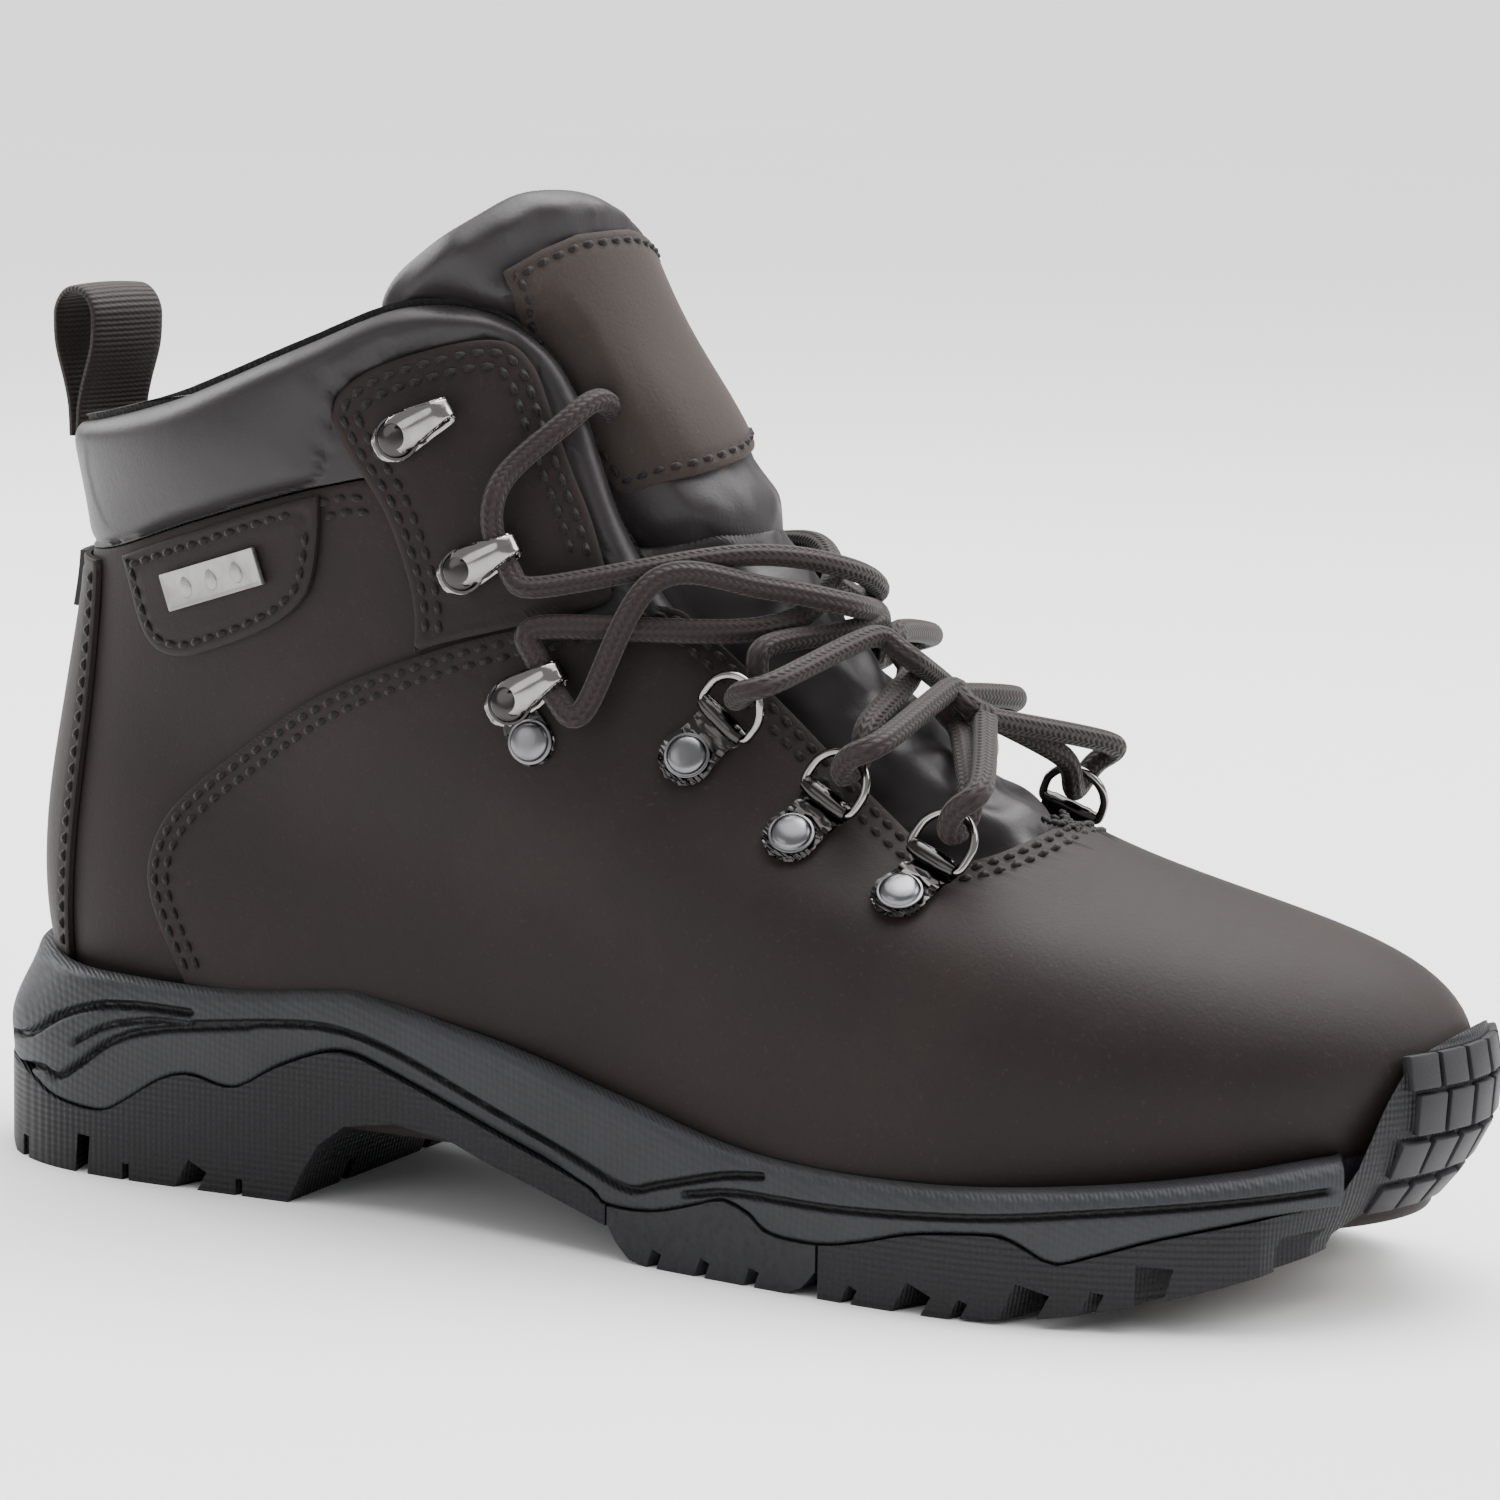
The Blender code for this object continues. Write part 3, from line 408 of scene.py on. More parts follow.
def makePanel(name, outline, outerDepth, innerDepth, wall=True, bands=(0.5, 1.4, 2.4, 3.5, 5.0),
              pitch=2.2):
    # leather cut to an outline: two skins over the last, with a cut edge or a rolled one
    outline = np.asarray(outline, float)
    places, sign = panelPoints(outline, bands, pitch)
    count = len(outline)
    flat = [Vector(place) for place in places * unroll]
    edges = [(i, (i + 1) % count) for i in range(count)]
    spots, _, faces, origins, _, _ = geometry.delaunay_2d_cdt(flat, edges, [], 1, 1e-5)
    spots = np.array([tuple(v) for v in spots]) / unroll
    centres = np.array([spots[list(f)].mean(axis=0) for f in faces])
    faces = [f for f, kept in zip(faces, insideOutline(centres, outline)) if kept]
    rim = {}
    for new, old in enumerate(origins):
        for i in old:
            if i < count:
                rim[i] = new
    ring = [rim[i] for i in range(count)]
    ring = [v for i, v in enumerate(ring) if v != ring[i - 1]]
    away = nearestAway(bareLast(spots[:, 0], spots[:, 1]), bareLast(outline[:, 0], outline[:, 1]))
    outer = onLast(spots[:, 0], spots[:, 1], outerDepth(spots[:, 0], spots[:, 1], away))
    inner = onLast(spots[:, 0], spots[:, 1], innerDepth(spots[:, 0], spots[:, 1], away))
    total = len(spots)
    points = list(outer) + list(inner)
    made = [list(f) for f in faces] + [[i + total for i in f[::-1]] for f in faces]
    finishes = [0] * len(made)
    if wall:
        for a, b in zip(ring, ring[1:] + ring[:1]):
            made.append([a, b, b + total, a + total])
            finishes.append(1)
    else:
        onRing = set(ring)
        made = [[i - total if i - total in onRing else i for i in f] for f in made]
    thing = newMesh(name, points, made)
    thing.data.polygons.foreach_set("material_index", finishes)
    work = bmesh.new()
    work.from_mesh(thing.data)
    loose = [v for v in work.verts if not v.link_faces]
    bmesh.ops.delete(work, geom=loose, context="VERTS")
    bmesh.ops.recalc_face_normals(work, faces=work.faces)
    work.to_mesh(thing.data)
    work.free()
    smoothShade(thing, 50)
    return thing, sign


# ---- finishes
class Value:
    # one output of a node, which takes part in Python expressions
    def __init__(self, finish, socket):
        self.finish, self.socket = finish, socket

    def join(self, operation, *others):
        return self.finish.node("ShaderNodeMath", {"operation": operation},
                                dict(enumerate((self, *others))))

    def __add__(self, other):
        return self.join("ADD", other)

    def __mul__(self, other):
        return self.join("MULTIPLY", other)

    def __sub__(self, other):
        return self.join("SUBTRACT", other)

    def __rsub__(self, other):
        return self.finish.node("ShaderNodeMath", {"operation": "SUBTRACT"}, {0: other, 1: self})

    __radd__, __rmul__ = __add__, __mul__

    def between(self, low, high):
        # 0 below low, 1 above high, smooth on the way
        return self.finish.node("ShaderNodeMapRange", {"interpolation_type": "SMOOTHSTEP"},
                                {0: self, 1: low, 2: high})


class Finish:
    def __init__(self, name, **sockets):
        self.material = bpy.data.materials.new(name)
        self.material.use_nodes = True
        self.tree = self.material.node_tree
        self.shader = self.tree.nodes["Principled BSDF"]
        for key, value in sockets.items():
            self.set(key, value)

    def feed(self, socket, value):
        if isinstance(value, Value):
            self.tree.links.new(value.socket, socket)
        elif hasattr(value, "__len__") and len(value) == 3 and socket.type == "RGBA":
            socket.default_value = (*value, 1.0)
        else:
            socket.default_value = value

    def set(self, key, value):
        words = "".join(" " + c if c.isupper() else c for c in key).strip()
        self.feed(self.shader.inputs[words.title().replace("Ior", "IOR")], value)

    def node(self, kind, settings=None, sockets=None, output=0):
        made = self.tree.nodes.new(kind)
        for key, value in (settings or {}).items():
            setattr(made, key, value)
        for key, value in (sockets or {}).items():
            self.feed(made.inputs[key], value)
        return Value(self, made.outputs[output])

    def place(self, stretch=(1.0, 1.0, 1.0), uv=False):
        spot = self.node("ShaderNodeTexCoord", output="UV" if uv else "Object")
        return self.node("ShaderNodeMapping", sockets={"Vector": spot, "Scale": stretch})

    def noise(self, scale, detail=3.0, rough=0.5, place=None, warp=0.0):
        return self.node("ShaderNodeTexNoise", sockets={
            "Vector": place or self.place(), "Scale": scale, "Detail": detail,
            "Roughness": rough, "Distortion": warp})

    def cells(self, scale, place=None, feature="F1", jitter=1.0):
        return self.node("ShaderNodeTexVoronoi", {"feature": feature}, {
            "Vector": place or self.place(), "Scale": scale, "Randomness": jitter})

    def part(self, place, axis):
        return self.node("ShaderNodeSeparateXYZ", sockets={0: place}, output=axis)

    def shifted(self, spot):
        # a place pushed about a little, so that a pattern isn't regular
        push = self.node("ShaderNodeTexNoise", sockets={"Vector": spot, "Scale": 420.0}, output=1)
        small = self.node("ShaderNodeVectorMath", {"operation": "SCALE"}, {0: push, 3: 0.8 * mm})
        return self.node("ShaderNodeVectorMath", {"operation": "ADD"}, {0: spot, 1: small})

    def wave(self, value, length):
        # a sine of a place in metres, from -1 to 1
        return (value * (2 * math.pi / length)).join("SINE")

    def mix(self, first, second, part):
        return self.node("ShaderNodeMix", {"data_type": "RGBA"},
                         {0: part, 6: first, 7: second}, output=2)

    def bump(self, height, depth, strength=1.0):
        # height 0 to 1 stands this many millimetres high
        self.set("Normal", self.node("ShaderNodeBump", sockets={
            "Height": height, "Distance": depth * mm, "Strength": strength}))


def nubuck(name, dark, light, worn, fuzz=0.25):
    look = Finish(name, SheenWeight=fuzz, SheenRoughness=0.6, SheenTint=(0.75, 0.66, 0.6, 1.0),
                  SpecularIorLevel=0.2)
    blotch = look.noise(26.0, 5.0, 0.6)
    speck = look.noise(950.0, 3.0, 0.7)
    pores = look.cells(1300.0)
    crease = look.noise(210.0, 8.0, 0.62, warp=0.6)
    tone = look.mix(dark, light, blotch.between(0.32, 0.72))
    tone = look.mix(tone, worn, speck.between(0.56, 0.8) * 0.5)
    tone = look.mix(tone, tuple(0.45 * c for c in dark), (1 - pores.between(0.0, 0.35)) * 0.4)
    look.set("BaseColor", tone)
    look.set("Roughness", blotch * 0.16 + speck * 0.12 + 0.48)
    look.bump(crease * 0.55 + speck * 0.25 + pores * 0.2, 0.22, 0.6)
    return look.material


def softLeather(name, base, glow):
    look = Finish(name, SpecularIorLevel=0.36, SheenWeight=0.04, SheenRoughness=0.5)
    grain = look.cells(1500.0, feature="SMOOTH_F1")
    fine = look.noise(1900.0, 2.0)
    pulls = look.noise(330.0, 4.0, 0.6, look.place((1.0, 1.0, 0.16)), 0.3)
    blotch = look.noise(38.0, 4.0)
    look.set("BaseColor", look.mix(base, glow, blotch.between(0.3, 0.75)))
    look.set("Roughness", blotch * 0.12 + grain * 0.08 + 0.37)
    look.bump(grain * 0.25 + fine * 0.12 + pulls * 0.45, 0.2, 0.55)
    return look.material


def meshCloth(name, base, thread):
    look = Finish(name, Roughness=0.95, SheenWeight=0.05, SheenRoughness=0.7)
    knots = look.cells(820.0, jitter=0.35)
    fluff = look.noise(1600.0, 5.0, 0.7)
    look.set("BaseColor", look.mix(thread, base, knots.between(0.1, 0.45) * 0.7 + fluff * 0.3))
    look.bump(1 - knots.between(0.0, 0.6) + fluff * 0.8, 0.5, 0.9)
    return look.material


def mouldedRubber(name, dark, light, pattern, shadeGrooves=False):
    look = Finish(name, SpecularIorLevel=0.3)
    spot = look.place()
    side = look.part(spot, 0) + look.part(spot, 1)
    rise = look.part(spot, 2)
    haze = look.noise(45.0, 5.0, 0.65)
    fine = look.noise(2600.0, 3.0, 0.6)
    if pattern == "hatch":
        mark = look.wave(side + rise, 2.6 * mm) * look.wave(side - rise, 2.6 * mm) * 0.5 + 0.5
        depth = 0.45
    elif pattern == "pebble":
        mark = look.cells(640.0, look.shifted(spot), "SMOOTH_F1").between(0.0, 0.75)
        depth = 0.45
    elif pattern == "scale":
        drift = look.noise(300.0, 2.0) * (0.9 * mm)
        mark = look.wave(side + drift, 1.15 * mm) * 0.25 + look.wave(
            side * 0.35 + rise + drift, 1.7 * mm) * 0.25 + 0.5
        depth = 0.2
    else:
        mark, depth = fine, 0.12
    tone = look.mix(dark, light, haze.between(0.3, 0.75) * 0.6 + mark * 0.4)
    if shadeGrooves:  # painted shade: the moulded lines are darkened by their depth, a value kept with the mesh
        grooveShading = look.node("ShaderNodeAttribute", {"attribute_name": "grooveShade"}, output=2)
        tone = look.mix(tone, tuple(0.4 * c for c in dark), grooveShading)
    look.set("BaseColor", tone)
    look.set("Roughness", haze * 0.14 + fine * 0.08 + 0.45)
    look.bump(mark * 0.85 + fine * 0.15, depth, 0.75)
    return look.material


def metal(name, base, dull, roughness, brushed=0.0):
    look = Finish(name, Metallic=1.0)
    smear = look.noise(260.0, 4.0, 0.6)
    scratch = look.noise(900.0, 3.0, 0.7, look.place((1.0, 0.06, 0.06)), 0.1)
    look.set("BaseColor", look.mix(base, dull, smear.between(0.45, 0.8) * 0.6))
    look.set("Roughness", smear * 0.14 + scratch * brushed + roughness - 0.07)
    look.bump(scratch * 0.6 + smear * 0.4, 0.02 + 0.05 * brushed, 0.5)
    return look.material


def yarn(name, dark, light, kind):
    # u runs along the cord in metres, v once round it (or across a tape, in metres)
    look = Finish(name, SheenWeight=0.08, SheenRoughness=0.5, SpecularIorLevel=0.3)
    spot = look.place(uv=True)
    along, across = look.part(spot, 0), look.part(spot, 1)
    fuzz = look.noise(1500.0, 5.0, 0.7)
    if kind == "braid":
        turn = across * (9 * 2 * math.pi)
        lean = along * (2 * math.pi / (1.5 * mm))
        chevron = ((turn * 0.5).join("SINE").join("ABSOLUTE") * 3.4 + lean).join("SINE")
        rib = turn.join("COSINE")
        mark = chevron * 0.2 + rib * -0.3 + 0.5
        depth = 0.5
    elif kind == "tape":
        rib = look.wave(along, 1.05 * mm)
        check = look.wave(across, 1.5 * mm)
        mark = rib * 0.3 + check * rib * 0.12 + 0.5
        depth = 0.35
    else:
        mark = look.wave(along * 0.8 + across * (1.1 * mm), 1.1 * mm) * 0.4 + 0.5
        depth = 0.2
    look.set("BaseColor", look.mix(dark, light, mark * 0.75 + fuzz * 0.3))
    look.set("Roughness", fuzz * 0.2 + 0.58)
    look.bump(mark * 0.85 + fuzz * 0.2, depth, 0.9)
    return look.material


def plainBoard(name, base, fleck):
    look = Finish(name)
    fibre = look.noise(700.0, 6.0, 0.7, look.place((1.0, 0.4, 1.0)))
    look.set("BaseColor", look.mix(base, fleck, fibre.between(0.45, 0.75)))
    look.set("Roughness", fibre * 0.15 + 0.75)
    look.bump(fibre, 0.1, 0.6)
    return look.material


nubuckDark = nubuck("waxedNubuck", (0.0075, 0.0045, 0.0042), (0.0130, 0.0082, 0.0074),
                    (0.040, 0.027, 0.023), 0.05)
nubuckPatch = nubuck("lightNubuck", (0.0165, 0.0112, 0.0094), (0.023, 0.0160, 0.0134),
                     (0.052, 0.037, 0.031), 0.1)
rawEdge = nubuck("cutLeatherEdge", (0.010, 0.0055, 0.0052), (0.017, 0.0100, 0.0090),
                 (0.04, 0.026, 0.023), 0.06)
paddingLeather = softLeather("paddingLeather", (0.0095, 0.0066, 0.0082),
                             (0.0145, 0.0104, 0.0126))
tongueLeather = softLeather("tongueLeather", (0.0110, 0.0080, 0.0095), (0.0170, 0.0128, 0.0150))
blackMesh = meshCloth("blackMesh", (0.001, 0.001, 0.0012), (0.006, 0.006, 0.0065))
# the midsole's moulded lines get painted shade from a value kept with the mesh
midsoleGrey = mouldedRubber("midsoleGrey", (0.0165, 0.0165, 0.0195), (0.027, 0.0272, 0.0315),
                            "scale", shadeGrooves=True)
treadRubber = mouldedRubber("treadRubber", (0.0042, 0.0042, 0.0052),
                            (0.0105, 0.0105, 0.0125), "hatch")
toeRubber = mouldedRubber("toeRubber", (0.0105, 0.0100, 0.0118), (0.0175, 0.0168, 0.0195), "plain")
podRubber = mouldedRubber("podRubber", (0.0075, 0.0075, 0.009), (0.0165, 0.0165, 0.0195), "pebble")
blackNickel = metal("blackNickel", (0.25, 0.238, 0.23), (0.16, 0.152, 0.148), 0.15)
darkNickel = metal("darkNickel", (0.050, 0.046, 0.046), (0.028, 0.026, 0.026), 0.16)
satinNickel = metal("satinNickel", (0.165, 0.165, 0.172), (0.11, 0.11, 0.115), 0.3)
brushedPlate = metal("brushedPlate", (0.30, 0.29, 0.275), (0.20, 0.193, 0.184), 0.3, 0.35)
springSteel = metal("springSteel", (0.45, 0.45, 0.46), (0.3, 0.3, 0.31), 0.35, 0.2)
lacing = yarn("braidedLace", (0.0030, 0.0017, 0.0016), (0.0235, 0.0130, 0.0112), "braid")
webbing = yarn("ribbedWebbing", (0.0052, 0.0028, 0.0024), (0.0190, 0.0108, 0.0088), "tape")
thread = yarn("sewingThread", (0.0022, 0.0011, 0.0011), (0.0085, 0.0042, 0.0040), "twist")
fibreBoard = plainBoard("fibreBoard", (0.33, 0.28, 0.22), (0.22, 0.18, 0.14))
print("finishes made")


# ---- sewing
sewing = {"length": 2.9, "gap": 0.7, "thick": 0.56, "rows": (2.0, 4.7),
          "eyestayRows": (2.4, 5.2), "ankleRow": (2.3,), "backRow": (2.0,)}


def sewRow(places, depth):
    # one row of stitches along a line of angles and levels, as points, ends and outward ways
    places = np.asarray(places, float)
    spots = onLast(places[:, 0], places[:, 1], depth)
    out = lastNormal(places[:, 0], places[:, 1])
    far = chordLengths(spots)
    pitch = sewing["length"] + sewing["gap"]
    count = max(1, int(far[-1] / pitch))
    stitches = []
    for i in range(count):
        ends = (i * pitch + sewing["gap"] / 2, (i + 1) * pitch - sewing["gap"] / 2)
        knots = np.linspace(*ends, 5)
        line = np.stack([np.interp(knots, far, spots[:, k]) for k in range(3)], -1)
        away = np.stack([np.interp(knots, far, out[:, k]) for k in range(3)], -1)
        stitches.append((line, away / np.linalg.norm(away, axis=1, keepdims=True)))
    return stitches


def sewTogether(name, rows, body="boot", slot="waxed_nubuck"):
    # every stitch is a short fat thread that dips into the leather at both ends
    thick = sewing["thick"]
    points, faces, wrap = [], [], []
    rise = (-0.9, 0.25, 0.55, 0.25, -0.9)
    girth = (0.55, 0.95, 1.05, 0.95, 0.55)
    for line, away in (stitch for row in rows for stitch in row):
        along = line[-1] - line[0]
        along /= np.linalg.norm(along)
        start = len(points)
        for k in range(5):
            across = np.cross(away[k], along)
            across /= np.linalg.norm(across)
            for turn in np.arange(6) * math.pi / 3:
                ring = across * math.cos(turn) * 1.15 + away[k] * math.sin(turn) * 0.85
                points.append(line[k] + away[k] * rise[k] * thick + ring * thick * girth[k])
                wrap.append((k * 0.7 * mm, turn / (2 * math.pi)))
        for k in range(4):
            for j in range(6):
                a, b = start + k * 6 + j, start + k * 6 + (j + 1) % 6
                faces.append((a, b, b + 6, a + 6))
        faces.append(tuple(start + j for j in range(6)))
        faces.append(tuple(start + 24 + j for j in range(6))[::-1])
    thing = newMesh(name, points, faces)
    uv = thing.data.uv_layers.new(name="along")
    corners = np.array([wrap[loop.vertex_index] for loop in thing.data.loops])
    uv.data.foreach_set("uv", corners.ravel())
    faceOut(thing)
    smoothShade(thing, 180)
    coat(thing, thread)
    settle(thing, body, slot)


def insetRows(segment, sign, grooveShading, surface, trim=2.0):
    # rows of stitches beside part of an outline
    rows = []
    for depth in grooveShading:
        line = inwards(segment, sign * depth, closed=False)
        spots = bareLast(line[:, 0], line[:, 1])
        far = chordLengths(spots)
        keep = (far > trim) & (far < far[-1] - trim)
        rows.append(sewRow(line[keep], surface))
    return rows


# ---- the leather upper
leather = {"overlay": 2.0, "overlayBack": 0.4, "quarter": 0.0, "quarterBack": -1.7,
           "tuck": -0.42, "seamDip": 0.4, "edgeDrop": 0.5}
vampEdge = [(55, 41), (47, 58), (47, 68), (53, 78), (68, 90), (90, 104), (117, 115), (139, 121),
            (152, 124), (159, 123.5), (163, 120.5), (168, 116.5), (176, 109.5), (197, 91.5),
            (215, 79.5), (223, 79.5), (231, 84)]
quarterEdge = [(16, 125.4), (33, 127.4), (59, 135.4), (90, 144.4), (105, 145.4), (125, 132.4),
               (141, 120.4), (148, 116), (141, 112.5), (119, 106), (93, 95), (75, 83), (62, 74),
               (56, 66), (56, 58), (63, 42)]
eyestayEdge = [(92, 158), (93.5, 163), (99, 167.5), (108, 171.2), (118, 173.8), (124, 173.2),
               (128.5, 168.5), (132, 161), (137, 150), (142, 140), (146.5, 129)]
eyestayFoot = [(146.5, 129), (147, 125), (139, 122), (117, 116), (110, 113.5)]
eyestayBack = [(110, 113.5), (109.8, 121), (108, 129), (103, 141), (96, 151), (92, 158)]
ankleEdge = [(89, 143), (88.5, 134), (86, 124), (80, 118), (72, 113.8), (62, 110), (54, 107.8),
             (47, 108.8), (42.5, 114), (38, 126.5)]
ankleTop = [(38, 126.5), (48, 130), (60, 134), (75, 139), (89, 143)]
backstayEdge = [(22, 40), (25, 80), (28, 112), (29, 124.5)]


def seamDepth(level, rows=sewing["rows"]):
    # the leather is pulled in along its seams and eased down at its cut edge
    def depth(angle, height, away):
        drop = -leather["edgeDrop"] * np.exp(-away / 0.45)
        for row in rows:
            drop = drop - leather["seamDip"] * np.exp(-((away - row) / 0.75)**2)
        return level + drop
    return depth


def flatDepth(level):
    return lambda angle, height, away: np.full(len(angle), level)


def cutLeather(name, node, outline, front, back=leather["overlayBack"]):
    thing, sign = makePanel(name, outline, front, flatDepth(back))
    coat(thing, nubuckDark, rawEdge)
    settle(thing, "boot", "waxed_nubuck", node)
    return sign


def closeUp(*segments):
    whole = np.concatenate(segments)
    keep = np.linalg.norm((whole - np.roll(whole, 1, axis=0)) * unroll, axis=1) > 0.35
    return whole[keep]


def levelRow(start, end, level, step=1.5):
    angles = np.arange(start, end, math.copysign(step, end - start))
    return np.stack([angles, np.full(len(angles), level)], -1)


def upright(angle, start, end, step=0.07):
    levels = np.arange(start, end, math.copysign(step, end - start))
    return np.stack([np.full(len(levels), angle), levels], -1)


def makeVamp():
    inner = sideLine(vampEdge, 1)
    outer = overFront(sideLine(vampEdge, -1))
    throat = np.array([[180.0, 3.46]])
    edge = np.concatenate([inner, throat, outer[::-1]])
    tuck = leather["tuck"]
    outline = closeUp(upright(inner[0, 0], tuck, inner[0, 1]), edge,
                      upright(outer[0, 0], outer[0, 1], tuck),
                      levelRow(outer[0, 0], inner[0, 0], tuck))
    sign = cutLeather("vampLeather", "vamp", outline, seamDepth(leather["overlay"]))
    rows = insetRows(edge, sign, sewing["rows"], leather["overlay"] - 0.15, 1.0)
    sewTogether("vampStitching", rows)


def makeQuarter(word, side):
    top = sideLine(quarterEdge, side)
    tuck = leather["tuck"]
    centre = 0.4 * side
    outline = closeUp(upright(centre, tuck, top[0, 1]), top, upright(top[-1, 0], top[-1, 1], tuck),
                      levelRow(top[-1, 0], centre, tuck))
    cutLeather("quarterLeather." + word, "quarter_" + word, outline,
               seamDepth(leather["quarter"], ()), leather["quarterBack"])
    band = sideLine([(88, 141), (94, 142.6), (101, 142.6)], side)
    rows = [sewRow(band, 0.1), sewRow(band + (0, -0.1), 0.1)]
    sewTogether("quarterStitching." + word, rows)


def makeEyestay(word, side):
    front, foot, back = (sideLine(line, side) for line in (eyestayEdge, eyestayFoot, eyestayBack))
    outline = closeUp(front, foot[1:], back[1:])
    sign = cutLeather("eyestayLeather." + word, "eyestay_" + word, outline,
                      seamDepth(leather["overlay"] + 0.1, sewing["eyestayRows"]))
    sewn = np.concatenate([back[:-2], front])
    rows = insetRows(sewn, sign, sewing["eyestayRows"], leather["overlay"] - 0.05, 3.5)
    sewTogether("eyestayStitching." + word, rows)


def makeAnklePanel(word, side):
    edge, top = sideLine(ankleEdge, side), sideLine(ankleTop, side)
    outline = closeUp(edge, top[1:])
    sign = cutLeather("ankleLeather." + word, "ankle_panel_" + word, outline,
                      seamDepth(leather["overlay"], sewing["ankleRow"]))
    rows = insetRows(np.concatenate([edge[4:], top[1:-3]]), sign, sewing["ankleRow"],
                     leather["overlay"] - 0.1, 1.5)
    sewTogether("ankleStitching." + word, rows)


def makeBackstay():
    inner, outer = sideLine(backstayEdge, 1), sideLine(backstayEdge, -1)
    tuck = leather["tuck"]
    top = levelRow(inner[-1, 0], outer[-1, 0], inner[-1, 1])
    outline = closeUp(upright(inner[0, 0], tuck, inner[0, 1]), inner, top, outer[::-1],
                      upright(outer[0, 0], outer[0, 1], tuck),
                      levelRow(outer[0, 0], inner[0, 0], tuck))
    sign = cutLeather("backstayLeather", "backstay", outline,
                      seamDepth(leather["overlay"], sewing["backRow"]))
    rows = [row for line in (inner, outer[::-1])
            for row in insetRows(line, sign, sewing["backRow"], leather["overlay"] - 0.1)]
    sewTogether("backstayStitching", rows)


makeVamp()
for word, side in (("outer", -1), ("inner", 1)):
    makeQuarter(word, side)
    makeEyestay(word, side)
    makeAnklePanel(word, side)
makeBackstay()
print("leather cut and sewn")


# ---- padding: the collar, the lining and the tongue
padding = {"seat": -2.9, "collarPuff": 4.6, "collarInside": -3.6, "liningInside": -5.6,
           "tongueFill": 0.6, "collarFill": 0.7}
collarFoot = [(16, 125.6), (33, 127.6), (59, 135.8), (90, 144.8), (105, 145.8), (125, 132.8),
              (141, 121), (152, 116.5), (161, 120)]
collarTop = [(161, 121.5), (154, 130), (147, 141), (142, 152), (137.5, 162), (130, 173),
             (119, 180), (104, 180), (85, 172), (64, 163), (50, 158), (30, 153), (11, 150)]
# what shows of the collar ends at the panels sewn on it
collarSeam = [(11, 126), (33, 128), (59, 136), (88, 145), (91, 158), (93, 163), (99, 168.5),
              (108, 172), (118, 174.6), (125, 174), (129.5, 169), (133, 161.5), (138, 150.5),
              (143, 140.5), (147.5, 129), (152, 123)]


def softPiece(name, outline, outside, inside, bands, pitch, finish, body, node):
    # a closed padded form, subdivided so that it crowns between its edges
    thing, _ = makePanel(name, outline, outside, inside, wall=False, bands=bands, pitch=pitch)
    modify(thing, "SUBSURF", levels=1, render_levels=1)
    smoothShade(thing, 180)
    coat(thing, finish)
    settle(thing, body, "smooth_leather", node)
    return thing


def eased(value):
    part = np.clip(value, 0, 1)
    return part * part * (3 - 2 * part)


def rounded(away, reach):
    # a quarter round edge, from 0 at the rim to 1 inside
    return np.sqrt(1 - (1 - np.clip(away / reach, 0, 1))**2)


def collarDepth(angle, level, away):
    spots = bareLast(angle, level)
    flat = np.stack([spots[:, 0], spots[:, 2]], -1)
    seam = evenly(np.array(collarSeam, float), 0.8)
    top = curveThrough(collarTop, 0.8)
    low, high = nearestAway(flat, seam), nearestAway(flat, top)
    behind = insideOutline(flat, np.array(collarSeam + [(152, 90), (11, 90)], float))
    width = low + high
    part = np.where(behind, 0.0, low / np.maximum(width, 0.1))
    puff = np.minimum(padding["collarPuff"], 0.34 * width) * np.sqrt(np.sin(np.pi * (
        0.04 + 0.90 * part)).clip(0)) - 0.3
    puff = np.where(behind, 0.0, puff) * (0.1 + 0.9 * eased((np.abs(angle) - 22) / 50))
    wave = 0.3 * np.sin(angle * 0.17 + 2.0 * np.sin(angle * 0.06)) * np.sin(np.pi * part)
    full = puff + wave * (puff > 1.0) - padding["seat"]
    return np.where(behind, -0.15, padding["seat"] + full * rounded(away, 4.2))


def makeCollar():
    foot = [sideLine(collarFoot, side) for side in (-1, 1)]
    top = [sideLine(collarTop, side) for side in (-1, 1)]
    outline = closeUp(foot[0][::-1], foot[1][1:], top[1][1:], top[0][::-1])

    def inside(angle, level, away):
        return padding["seat"] + (padding["collarInside"] - padding["seat"]) * rounded(away, 1.5)

    thing = softPiece("collarPadding", outline, collarDepth, inside,
                      (0.15, 0.5, 1.1, 1.9, 2.9, 4.2, 5.6), 2.0, paddingLeather, "boot", "collar")


def makeLining():
    # the mesh lining wraps up to the collar's edge and shows as a fuzzy black line
    rise = [(x - 0.3, z + 1.3) for x, z in collarTop]
    rise = [(222, 75.5), (214.5, 74.5), (193.5, 87.3), (173, 103.8), (161.5, 117.5)] + rise[1:]
    inner, outer = sideLine(rise, 1), sideLine(rise, -1)
    throat = np.array([[180.0, 3.3]])
    ring = np.concatenate([inner[::-1], throat, overFront(outer)])
    low = 0.25
    outline = closeUp(upright(0.5, low, inner[-1, 1]), ring,
                      upright(359.5, outer[-1, 1], low), levelRow(359.5, 0.5, low))
    def outside(angle, level, away):
        fuzz = 0.25 * np.sin(angle * 9.7) * np.sin(level * 41.0)
        return -3.9 + 0.7 * np.exp(-away / 1.6) + fuzz * np.exp(-away / 2.0)
    thing, _ = makePanel("meshLining", outline, outside, flatDepth(padding["liningInside"]),
                         bands=(0.6, 1.6, 3.0), pitch=3.2)
    coat(thing, blackMesh, blackMesh)
    settle(thing, "boot", "black_mesh", "lining")


def fromCentre(angle):
    return np.abs(angle % 360 - 180)


